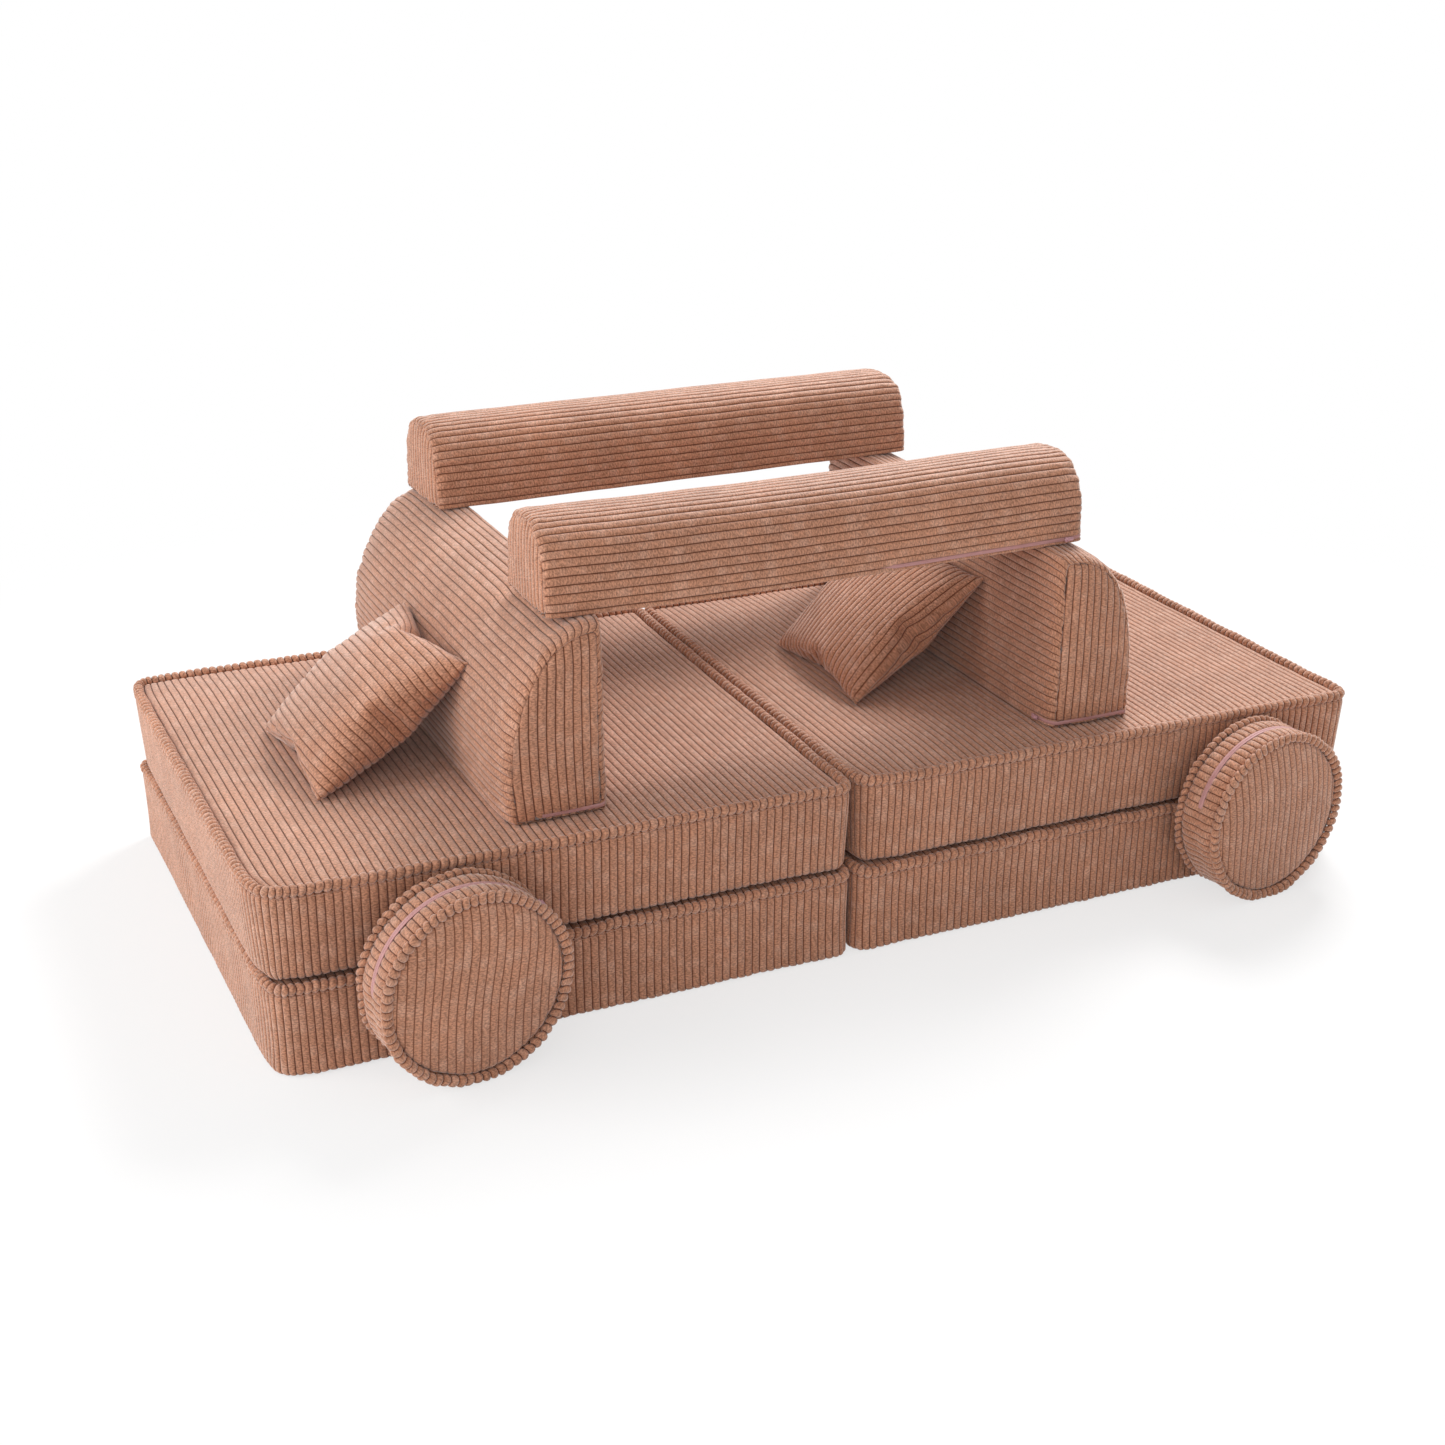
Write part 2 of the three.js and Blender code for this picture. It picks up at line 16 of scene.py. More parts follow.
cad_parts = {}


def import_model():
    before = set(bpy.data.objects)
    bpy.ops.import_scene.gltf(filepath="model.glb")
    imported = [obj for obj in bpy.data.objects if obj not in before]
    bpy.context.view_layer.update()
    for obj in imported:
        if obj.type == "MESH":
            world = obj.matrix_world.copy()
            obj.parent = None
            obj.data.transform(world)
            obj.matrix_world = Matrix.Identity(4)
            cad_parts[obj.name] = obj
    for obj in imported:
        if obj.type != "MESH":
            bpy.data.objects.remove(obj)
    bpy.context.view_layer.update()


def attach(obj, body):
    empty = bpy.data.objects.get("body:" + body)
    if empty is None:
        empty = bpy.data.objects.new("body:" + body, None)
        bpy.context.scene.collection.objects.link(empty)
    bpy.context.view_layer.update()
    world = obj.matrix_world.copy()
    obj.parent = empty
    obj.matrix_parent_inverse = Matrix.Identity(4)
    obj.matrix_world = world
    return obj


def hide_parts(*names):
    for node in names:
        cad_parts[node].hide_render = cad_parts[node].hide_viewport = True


LOG = logging.getLogger("play_sofa")
Pair = tuple[float, float]
Triple = tuple[float, float, float]
Four = tuple[float, float, float, float]

MM = 0.001
PITCH = 0.011  # from one wale to the next
WALE_MARKS = np.array([0.0, 0.07, 0.22, 0.42, 0.58, 0.78, 0.93])  # where points stand in a wale
CLEARANCE = 0.0003  # least height of cloth over the floor
SEAT = 0.2506  # height at which supports and pillows stand on the mattresses
CAMERA_FRAME = 1445  # side of the photograph in pixels


class Slot(Enum):
    """Names of material slots."""

    CORDUROY = "corduroy"
    ZIP_TAPE = "zip_tape"
    SLIDER_PAINT = "slider_paint"


class Closing(Enum):
    """How the open edges of a grid of cloth are closed."""

    RING = "both ways round"
    TUBE = "round, ends fanned"
    SLAB = "border fanned to a hub"


# Small helpers on arrays


def smooth(value: np.ndarray, low: float, high: float) -> np.ndarray:
    """Eases from 0 at low to 1 at high."""
    share = np.clip((np.asarray(value, float) - low) / (high - low), 0, 1)
    return share * share * (3 - 2 * share)


def waves(turn: np.ndarray, seed: int, lowest: int, highest: int) -> np.ndarray:
    """Sums a few sines that close on themselves after one turn.

    Args:
        turn: Place round a closed path, 0 to 1.
        seed: Seed of the phases.
        lowest: Fewest waves in a turn.
        highest: Most waves in a turn.

    Returns:
        Values that mostly lie between -1 and 1.
    """
    rng = np.random.default_rng(seed)
    total = np.zeros_like(np.asarray(turn, float))
    counts = np.unique(np.linspace(lowest, highest, 7).astype(int))
    for count in counts:
        total += rng.uniform(0.4, 1) * np.sin(2 * math.pi * (count * turn + rng.uniform()))
    return total / math.sqrt(len(counts))


def lane_marks(count: int) -> np.ndarray:
    """Places of a closed run of wales, in wale units, without the last one."""
    return (np.arange(count)[:, None] + WALE_MARKS[None, :]).ravel()


def lane_marks_between(low: float, high: float) -> np.ndarray:
    """Places of the wales between two values in wale units, with both ends.

    Args:
        low: First place.
        high: Last place.

    Returns:
        The places in rising order.
    """
    whole = lane_marks(int(math.ceil(high) - math.floor(low)) + 1) + math.floor(low)
    inner = whole[(whole > low + 0.03) & (whole < high - 0.03)]
    return np.concatenate([[low], inner, [high]])


def cubic_weights(samples: np.ndarray, count: int) -> np.ndarray:
    """Weights that read a row of evenly spaced values at given places.

    Args:
        samples: Places, 0 to count - 1.
        count: Number of values in the row.

    Returns:
        A matrix of len(samples) by count (Catmull-Rom).
    """
    weights = np.zeros((len(samples), count))
    base = np.clip(np.floor(samples).astype(int), 0, count - 2)
    t = samples - base
    parts = [-0.5 * t + t**2 - 0.5 * t**3, 1 - 2.5 * t**2 + 1.5 * t**3,
             0.5 * t + 2 * t**2 - 1.5 * t**3, -0.5 * t**2 + 0.5 * t**3]
    for step, part in enumerate(parts):
        column = base + step - 1
        inside = np.clip(column, 0, count - 1)
        np.add.at(weights, (np.arange(len(samples)), inside), part)
        mirror = np.where(column < 0, 1, np.where(column > count - 1, -1, 0))
        edge = np.nonzero(mirror)[0]
        for row in edge:
            near = inside[row]
            weights[row, near] += part[row]
            weights[row, near + mirror[row]] -= part[row]
    return weights


def path_reach(points: np.ndarray) -> np.ndarray:
    """Distances along an open path from its first point to each of its points."""
    gaps = np.linalg.norm(np.diff(points, axis=0), axis=1)
    return np.concatenate([[0], np.cumsum(gaps)])


def read_path(marks: np.ndarray, reach: np.ndarray, values: np.ndarray,
              period: float | None = None) -> np.ndarray:
    """Reads a path's rows of values at distances along it. A closed path has a period."""
    columns = [np.interp(marks, reach, column, period=period) for column in values.T]
    return np.stack(columns, axis=-1)


def softened(path: np.ndarray, kernel: np.ndarray) -> np.ndarray:
    """Averages the points of a closed path with their neighbours, by a kernel of odd length.

    Args:
        path: Points of the path.
        kernel: Shares of the neighbours.

    Returns:
        The averaged points.
    """
    soft = np.zeros_like(path)
    for offset, weight in enumerate(kernel / kernel.sum()):
        soft += weight * np.roll(path, offset - len(kernel) // 2, axis=0)
    return soft


def rolled(border: np.ndarray, run: float) -> np.ndarray:
    """Falls from 1 at a panel's border to 0 at a distance of run, as a quarter circle."""
    return 1 - np.sqrt(np.clip(1 - (1 - np.clip(border / run, 0, 1)) ** 2, 0, 1))


def crowned(border: np.ndarray, height: float, run: float) -> np.ndarray:
    """Falls from height at a panel's border to 0 at a distance of run, as a parabola."""
    return height * (1 - np.clip(border / run, 0, 1)) ** 2


def panel_columns(reach: float, lip: np.ndarray, inset: float) -> np.ndarray:
    """Columns of a panel of half width reach: close ones by its edges, then wales from inset."""
    inner = lane_marks_between(-(reach - inset) / PITCH, (reach - inset) / PITCH) * PITCH
    return np.concatenate([-reach + lip, inner, (reach - lip)[::-1]])


def panel_rows(reach: np.ndarray, ends: np.ndarray, count: int) -> np.ndarray:
    """Where the points of each column of a panel stand.

    Args:
        reach: Half the length of each column.
        ends: Distances from its ends of the points close to them, as rows by 1 or by columns.
        count: Rows of the even middle part, with the last of ends at either side.

    Returns:
        Places along, rows by columns.
    """
    low = -reach[None, :] + ends
    middle = np.linspace(-1, 1, count)[1:-1, None] * (reach - ends[-1])[None, :]
    return np.vstack([low, middle, -low[::-1]])


def even_angles(count: int) -> np.ndarray:
    """Even angles round a circle, without the last one."""
    return 2 * math.pi * np.arange(count) / count


def cell_corners(grid: np.ndarray) -> np.ndarray:
    """The four corners of each cell of a grid, in their order round it, on a third axis."""
    return np.stack([grid[:-1, :-1], grid[:-1, 1:], grid[1:, 1:], grid[1:, :-1]], axis=2)


def in_scene(name: str, data: bpy.types.ID) -> bpy.types.Object:
    """Makes an object of some data and links it to the scene.

    Args:
        name: Name of the object.
        data: Mesh, lamp or camera.

    Returns:
        The object.
    """
    thing = bpy.data.objects.new(name, data)
    bpy.context.scene.collection.objects.link(thing)
    return thing


@dataclass(frozen=True)
class Placement:
    """Where a module stands: its own axes and origin in the shared frame."""

    origin: Triple
    turn: float = 0.0
    lean: float = 0.0

    def axes(self) -> np.ndarray:
        """The module's X, Y and Z axes as rows.

        Returns:
            Three unit vectors.
        """
        turned = Matrix.Rotation(math.radians(self.turn), 3, "Z")
        leaned = Matrix.Rotation(-math.radians(self.lean), 3, "Y")
        return np.array((turned @ leaned).transposed())

    def world(self, points: np.ndarray) -> np.ndarray:
        """Moves points from the module's own axes to the shared frame."""
        return points @ self.axes() + np.array(self.origin)

    def direction(self, vectors: np.ndarray) -> np.ndarray:
        """Turns directions from the module's own axes to the shared frame."""
        return vectors @ self.axes()


@dataclass
class Panel:
    """A grid of cloth: rows by columns of points with what the weave needs.

    Attributes:
        points: Rows by columns by 3.
        across: Place across the wales, in wale units.
        along: Place along the wales, in wale units.
        relief: Share of the full rib height.
        pucker: Share of the full puckering.
        span: What across grows by in a full turn, where the grid is closed.
    """

    points: np.ndarray
    across: np.ndarray
    along: np.ndarray
    relief: np.ndarray | float = 1.0
    pucker: np.ndarray | float = 0.0
    span: float = 0.0

    def spread(self, value: np.ndarray | float) -> np.ndarray:
        """Gives a value the grid's own shape."""
        return np.broadcast_to(np.asarray(value, float), self.points.shape[:2]).copy()

    def weave(self) -> np.ndarray:
        """The places across and along as rows by columns by 2."""
        return np.stack([self.spread(self.across), self.spread(self.along)], axis=-1)

    def mark(self, key: str) -> np.ndarray:
        """One of the grid's values for each of its points, in their order."""
        return self.spread(getattr(self, key)).ravel()


class SewnMesh:
    """Gathers closed shells of cloth and turns them into one mesh object."""

    def __init__(self, name: str) -> None:
        """Starts an empty piece with the name that it will show.

        Args:
            name: Name of the piece.
        """
        self.name = name
        self.points: list[np.ndarray] = []
        self.marks: dict[str, list[np.ndarray]] = {"across": [], "relief": [], "pucker": []}
        self.corners: list[np.ndarray] = []
        self.sizes: list[np.ndarray] = []
        self.weave: list[np.ndarray] = []
        self.total = 0

    def add(self, panel: Panel, closing: Closing, hub: np.ndarray | None = None) -> None:
        """Adds one closed shell.

        Args:
            panel: The grid of cloth.
            closing: How its open edges are closed.
            hub: Where a slab's border fan meets. The middle of the border if left out.
        """
        rows, columns = panel.points.shape[:2]
        ids, weave = np.arange(rows * columns).reshape(rows, columns), panel.weave()
        borders: list[np.ndarray] = []
        if closing is Closing.SLAB:
            borders = [np.concatenate([ids[0, ::-1], ids[1:, 0], ids[-1, 1:], ids[-2::-1, -1]])]
        else:
            ids = np.hstack([ids, ids[:, :1]])
            weave = np.hstack([weave, weave[:, :1] + (panel.span, 0.0)])
        if closing is Closing.TUBE:
            borders = [ids[0, ::-1], ids[-1, :]]
        elif closing is Closing.RING:
            along = weave[-1:, :, 1] + (weave[-1:, :, 1] - weave[-2:-1, :, 1])
            ids = np.vstack([ids, ids[:1]])
            weave = np.vstack([weave, np.stack([weave[:1, :, 0], along], axis=-1)])
        uv = [cell_corners(weave).reshape(-1, 2)]
        points = [panel.points.reshape(-1, 3)]
        marks = {key: [panel.mark(key)] for key in self.marks}
        fans: list[np.ndarray] = []
        for border in borders:
            start, end = border[:-1], border[1:]
            ring = points[0][start if border[0] == border[-1] else border]
            tip = np.full(len(start), rows * columns + len(fans))
            points.append((ring.mean(axis=0) if hub is None else np.asarray(hub, float))[None, :])
            fans.append(np.stack([start, end, tip], axis=-1))
            uv.append(np.zeros((3 * len(start), 2)))
            for values in marks.values():
                values.append(np.zeros(1))
        self._keep(np.concatenate(points), [cell_corners(ids).reshape(-1, 4)], fans, uv, marks)

    def add_pair(self, upper: Panel, lower: Panel) -> None:
        """Adds two sheets of one shape that are sewn to each other all round.

        Args:
            upper: Sheet that faces up.
            lower: Sheet that faces down.
        """
        rows, columns = upper.points.shape[:2]
        first = np.arange(rows * columns).reshape(rows, columns)
        quads, uv = [], []
        for ids, sheet, order in ((first, upper, 1), (first + first.size, lower, -1)):
            quads.append(cell_corners(ids)[..., ::order].reshape(-1, 4))
            uv.append(cell_corners(sheet.weave())[..., ::order, :].reshape(-1, 2))
        loop = np.concatenate([first[0, :], first[1:, -1], first[-1, -2::-1], first[-2::-1, 0]])
        start, end = loop[:-1], loop[1:]
        quads.append(np.stack([start, start + first.size, end + first.size, end], axis=-1))
        hem = np.stack([start, start, end, end], axis=-1)
        uv.append(upper.weave().reshape(-1, 2)[hem].reshape(-1, 2))
        points = np.concatenate([sheet.points.reshape(-1, 3) for sheet in (upper, lower)])
        marks = {key: [upper.mark(key), lower.mark(key)] for key in self.marks}
        self._keep(points, quads, [], uv, marks)

    def _keep(self, points: np.ndarray, quads: list[np.ndarray], fans: list[np.ndarray],
              uv: list[np.ndarray], marks: dict[str, list[np.ndarray]]) -> None:
        """Stores one shell with its faces turned outwards.

        Args:
            points: Corners.
            quads: Blocks of four-sided faces.
            fans: Blocks of triangles.
            uv: Weave of each face's corners.
            marks: Values at the corners.
        """
        four = np.concatenate(quads)
        three = np.concatenate(fans) if fans else np.zeros((0, 3), int)
        halves = np.concatenate([four[:, [0, 1, 2]], four[:, [0, 2, 3]], three])
        a, b, c = (points[halves[:, k]] - points.mean(axis=0) for k in range(3))
        inside_out = np.einsum("ij,ij->i", a, np.cross(b, c)).sum() < 0
        loops = np.concatenate(uv)
        first, second = loops[:four.size].reshape(-1, 4, 2), loops[four.size:].reshape(-1, 3, 2)
        if inside_out:
            four, three, first, second = (part[:, ::-1] for part in (four, three, first, second))
        self.corners.append(np.concatenate([four.ravel(), three.ravel()]) + self.total)
        self.sizes.append(np.concatenate([np.full(len(four), 4), np.full(len(three), 3)]))
        self.weave.append(np.concatenate([first.reshape(-1, 2), second.reshape(-1, 2)]))
        self.points.append(points)
        for key, values in marks.items():
            self.marks[key].append(np.concatenate(values))
        self.total += len(points)

    def object(self) -> bpy.types.Object:
        """Makes the mesh object, with its weave as a UV map and its marks as attributes.

        Returns:
            The object, linked to the scene.
        """
        mesh = bpy.data.meshes.new(self.name)
        points, corners = np.concatenate(self.points), np.concatenate(self.corners)
        sizes = np.concatenate(self.sizes)
        mesh.vertices.add(len(points))
        mesh.vertices.foreach_set("co", points.ravel())
        mesh.loops.add(len(corners))
        mesh.loops.foreach_set("vertex_index", corners)
        mesh.polygons.add(len(sizes))
        mesh.polygons.foreach_set("loop_start", np.concatenate([[0], np.cumsum(sizes)[:-1]]))
        mesh.update(calc_edges=True)
        mesh.polygons.foreach_set("use_smooth", np.ones(len(sizes), bool))
        mesh.uv_layers.new(name="weave").data.foreach_set("uv", np.concatenate(self.weave).ravel())
        for key, values in self.marks.items():
            layer = mesh.attributes.new(key, "FLOAT", "POINT")
            layer.data.foreach_set("value", np.concatenate(values))
        mesh.update()
        return in_scene(self.name, mesh)


# Node trees


class NodeTree:
    """Short hand for building a node tree."""

    def __init__(self, tree: bpy.types.NodeTree) -> None:
        """Keeps the tree that nodes are added to."""
        self.tree = tree

    def node(self, kind: str, **settings: object) -> bpy.types.Node:
        """Adds a node and sets its named properties.

        Args:
            kind: Blender's name of the node.
            **settings: Its properties.

        Returns:
            The node.
        """
        node = self.tree.nodes.new(kind)
        for key, value in settings.items():
            setattr(node, key, value)
        return node

    def feed(self, socket: bpy.types.NodeSocket, value: object) -> None:
        """Links a socket to another one, or sets it to a constant.

        Args:
            socket: Input.
            value: Socket or constant.
        """
        if isinstance(value, bpy.types.NodeSocket):
            self.tree.links.new(value, socket)
        else:
            socket.default_value = value

    def fill(self, node: bpy.types.Node, values: dict[str | int, object]) -> bpy.types.Node:
        """Feeds several inputs of a node by their names or places, and returns the node.

        Args:
            node: Node to feed.
            values: Value of each input.

        Returns:
            The same node.
        """
        for key, value in values.items():
            self.feed(node.inputs[key], value)
        return node

    def result(self, node: bpy.types.Node, values: tuple[object, ...]) -> bpy.types.NodeSocket:
        """Feeds a node's inputs in their order, and returns its first output."""
        return self.fill(node, dict(enumerate(values))).outputs[0]

    def math(self, operation: str, *values: object) -> bpy.types.NodeSocket:
        """Adds a Math node and returns its result."""
        return self.result(self.node("ShaderNodeMath", operation=operation), values)

    def vector(self, operation: str, *values: object) -> bpy.types.NodeSocket:
        """Adds a Vector Math node and returns its vector."""
        return self.result(self.node("ShaderNodeVectorMath", operation=operation), values)

    def scaled(self, vector: object, factor: object) -> bpy.types.NodeSocket:
        """Scales a vector."""
        node = self.node("ShaderNodeVectorMath", operation="SCALE")
        return self.fill(node, {0: vector, "Scale": factor}).outputs[0]

    def combined(self, *values: object) -> bpy.types.NodeSocket:
        """Combines values into a vector."""
        return self.result(self.node("ShaderNodeCombineXYZ"), values)

    def off_crown(self, across: object) -> bpy.types.NodeSocket:
        """How far a place across the cloth is from its wale's crown, 1 being the valley."""
        turn = self.math("FRACT", across)
        return self.math("ABSOLUTE", self.math("MULTIPLY_ADD", turn, 2.0, -1.0))

    def ramp(self, value: object, low: float, high: float, start: float = 0.0,
             end: float = 1.0) -> bpy.types.NodeSocket:
        """Eases a value from start at low to end at high."""
        node = self.node("ShaderNodeMapRange", interpolation_type="SMOOTHSTEP")
        return self.result(node, (value, low, high, start, end))

    def noise(self, place: object, scale: object, seed: object,
              detail: float = 2.0) -> bpy.types.Node:
        """Adds a four-dimensional noise whose fourth coordinate is the seed."""
        node = self.node("ShaderNodeTexNoise", noise_dimensions="4D")
        return self.fill(node, {"Vector": place, "W": seed, "Scale": scale, "Detail": detail})

    def bump(self, height: object, strength: float, distance: float) -> bpy.types.NodeSocket:
        """Adds a bump of a height and returns its normal."""
        values = {"Strength": strength, "Distance": distance, "Height": height}
        return self.fill(self.node("ShaderNodeBump"), values).outputs["Normal"]

    def blend(self, share: object, first: object, second: object,
              mode: str = "MIX") -> bpy.types.NodeSocket:
        """Mixes two colours.

        Args:
            share: Share of the second.
            first: Colour.
            second: Colour.
            mode: Way of mixing.

        Returns:
            The mixed colour.
        """
        node = self.node("ShaderNodeMix", data_type="RGBA", blend_type=mode)
        for name, value in (("Factor_Float", share), ("A_Color", first), ("B_Color", second)):
            self.feed(next(item for item in node.inputs if item.identifier == name), value)
        return next(item for item in node.outputs if item.identifier == "Result_Color")


class FormTree(NodeTree):
    """A geometry tree with named inputs that ends in Realize Instances and Set Material."""

    def __init__(self, name: str, inputs: dict[str, float]) -> None:
        """Opens the tree.

        Args:
            name: Name of the tree.
            inputs: Named sizes with their defaults.
        """
        super().__init__(bpy.data.node_groups.new(name, "GeometryNodeTree"))
        face = self.tree.interface
        face.new_socket("Geometry", in_out="INPUT", socket_type="NodeSocketGeometry")
        for key, value in inputs.items():
            socket = face.new_socket(key, in_out="INPUT", socket_type="NodeSocketFloat")
            socket.default_value = value
        face.new_socket("Material", in_out="INPUT", socket_type="NodeSocketMaterial")
        face.new_socket("Geometry", in_out="OUTPUT", socket_type="NodeSocketGeometry")
        self.source = self.node("NodeGroupInput")

    def given(self, name: str) -> bpy.types.NodeSocket:
        """One of the tree's own inputs."""
        return self.source.outputs[name]

    def attribute(self, name: str, kind: str = "FLOAT") -> bpy.types.NodeSocket:
        """A named attribute of the geometry.

        Args:
            name: Name of the attribute.
            kind: Type of its data.

        Returns:
            Its values.
        """
        node = self.node("GeometryNodeInputNamedAttribute", data_type=kind)
        node.inputs["Name"].default_value = name
        return next(item for item in node.outputs if item.enabled and item.name == "Attribute")

    def finish(self, geometry: bpy.types.NodeSocket) -> None:
        """Closes the tree on a geometry.

        Args:
            geometry: Last geometry.
        """
        real = self.fill(self.node("GeometryNodeRealizeInstances"), {"Geometry": geometry})
        dress = self.fill(self.node("GeometryNodeSetMaterial"),
                          {"Geometry": real.outputs["Geometry"],
                           "Material": self.given("Material")})
        self.fill(self.node("NodeGroupOutput"), {"Geometry": dress.outputs["Geometry"]})

    def grow(self, piece: bpy.types.Object, material: bpy.types.Material, **sizes: float) -> None:
        """Runs the tree on a piece and leaves the result as its plain mesh.

        Args:
            piece: The object that carries the tree's source mesh.
            material: What the result is dressed in.
            **sizes: Values of the named inputs, with underscores for spaces.
        """
        modifier = piece.modifiers.new("form", "NODES")
        modifier.node_group = self.tree
        values = {key.replace("_", " "): value for key, value in sizes.items()}
        values["material"] = material
        for item in self.tree.interface.items_tree:
            if item.in_out == "INPUT" and item.name.lower() in values:
                modifier[item.identifier] = values[item.name.lower()]
        graph = bpy.context.evaluated_depsgraph_get()
        shaped = bpy.data.meshes.new_from_object(piece.evaluated_get(graph), depsgraph=graph)
        piece.modifiers.clear()
        source = piece.data
        piece.data = shaped
        bpy.data.meshes.remove(source)
        shaped.name = piece.name
        if material.name not in [item.name for item in shaped.materials if item]:
            shaped.materials.clear()
            shaped.materials.append(material)


def wale_tree() -> FormTree:
    """Raises the wales of corduroy on a smooth grid, with wander and puckers.

    Returns:
        The finished tree.
    """
    tree = FormTree("wale relief", {"Height": 0.0026, "Roundness": 3.0, "Wander": 0.0005,
                                    "Wander Scale": 14.0, "Pucker": 0.001, "Pucker Scale": 45.0,
                                    "Seed": 0.0})
    power = tree.math("POWER", tree.off_crown(tree.attribute("across")), tree.given("Roundness"))
    rib = tree.math("SQRT", tree.math("SUBTRACT", 1.0, power))
    depth = tree.math("MULTIPLY", tree.math("SUBTRACT", 1.0, rib), tree.given("Height"))
    depth = tree.math("MULTIPLY", depth, tree.attribute("relief"))
    place = tree.node("GeometryNodeInputPosition").outputs[0]
    normal = tree.node("GeometryNodeInputNormal").outputs[0]
    drift = tree.noise(place, tree.given("Wander Scale"), tree.given("Seed"), 1.0)
    middle = (0.5, 0.5, 0.5)  # of the noise
    centred = tree.vector("SUBTRACT", drift.outputs["Color"], middle)
    sway = tree.scaled(centred, tree.math("MULTIPLY", tree.given("Wander"), 4.0))
    fold_seed = tree.math("ADD", tree.given("Seed"), 9.0)
    fold = tree.noise(place, tree.given("Pucker Scale"), fold_seed, 1.0).outputs["Fac"]
    crease = tree.math("MULTIPLY", tree.math("SUBTRACT", fold, 0.55), tree.given("Pucker"))
    crease = tree.math("MULTIPLY", tree.math("MULTIPLY", crease, 4.0), tree.attribute("pucker"))
    rise = tree.scaled(normal, tree.math("SUBTRACT", crease, depth))
    move = tree.fill(tree.node("GeometryNodeSetPosition"),
                     {"Geometry": tree.given("Geometry"), "Offset": tree.vector("ADD", rise, sway)})
    tree.finish(move.outputs["Geometry"])
    return tree


def bead_tree() -> FormTree:
    """Sets a small rounded bead on each point: stitches of a seam, or turns of a zip's coil.

    Returns:
        The finished tree.
    """
    tree = FormTree("bead run", {"Length": 0.004, "Width": 0.001, "Height": 0.001,
                                 "Segments": 8.0, "Rings": 5.0})
    ball = tree.fill(tree.node("GeometryNodeMeshUVSphere"),
                     {"Segments": tree.given("Segments"), "Rings": tree.given("Rings"),
                      "Radius": 0.5})
    soft = tree.fill(tree.node("GeometryNodeSetShadeSmooth"), {"Geometry": ball.outputs["Mesh"]})
    axes = tree.node("FunctionNodeAxesToRotation", primary_axis="Z", secondary_axis="X")
    tree.fill(axes, {0: tree.attribute("out", "FLOAT_VECTOR"),
                     1: tree.attribute("run", "FLOAT_VECTOR")})
    size = tree.combined(*(tree.given(name) for name in ("Length", "Width", "Height")))
    place = tree.fill(tree.node("GeometryNodeInstanceOnPoints"),
                      {"Points": tree.given("Geometry"), "Instance": soft.outputs["Geometry"],
                       "Rotation": axes.outputs[0], "Scale": size})
    tree.finish(place.outputs["Instances"])
    return tree


# Finishes


def open_material(name: str) -> tuple[bpy.types.Material, NodeTree, bpy.types.Node]:
    """Makes a material.

    Args:
        name: Its name.

    Returns:
        The material, its node tree and its main shader.
    """
    material = bpy.data.materials.new(name)
    material.use_nodes = True
    tree = material.node_tree
    return material, NodeTree(tree), tree.nodes["Principled BSDF"]


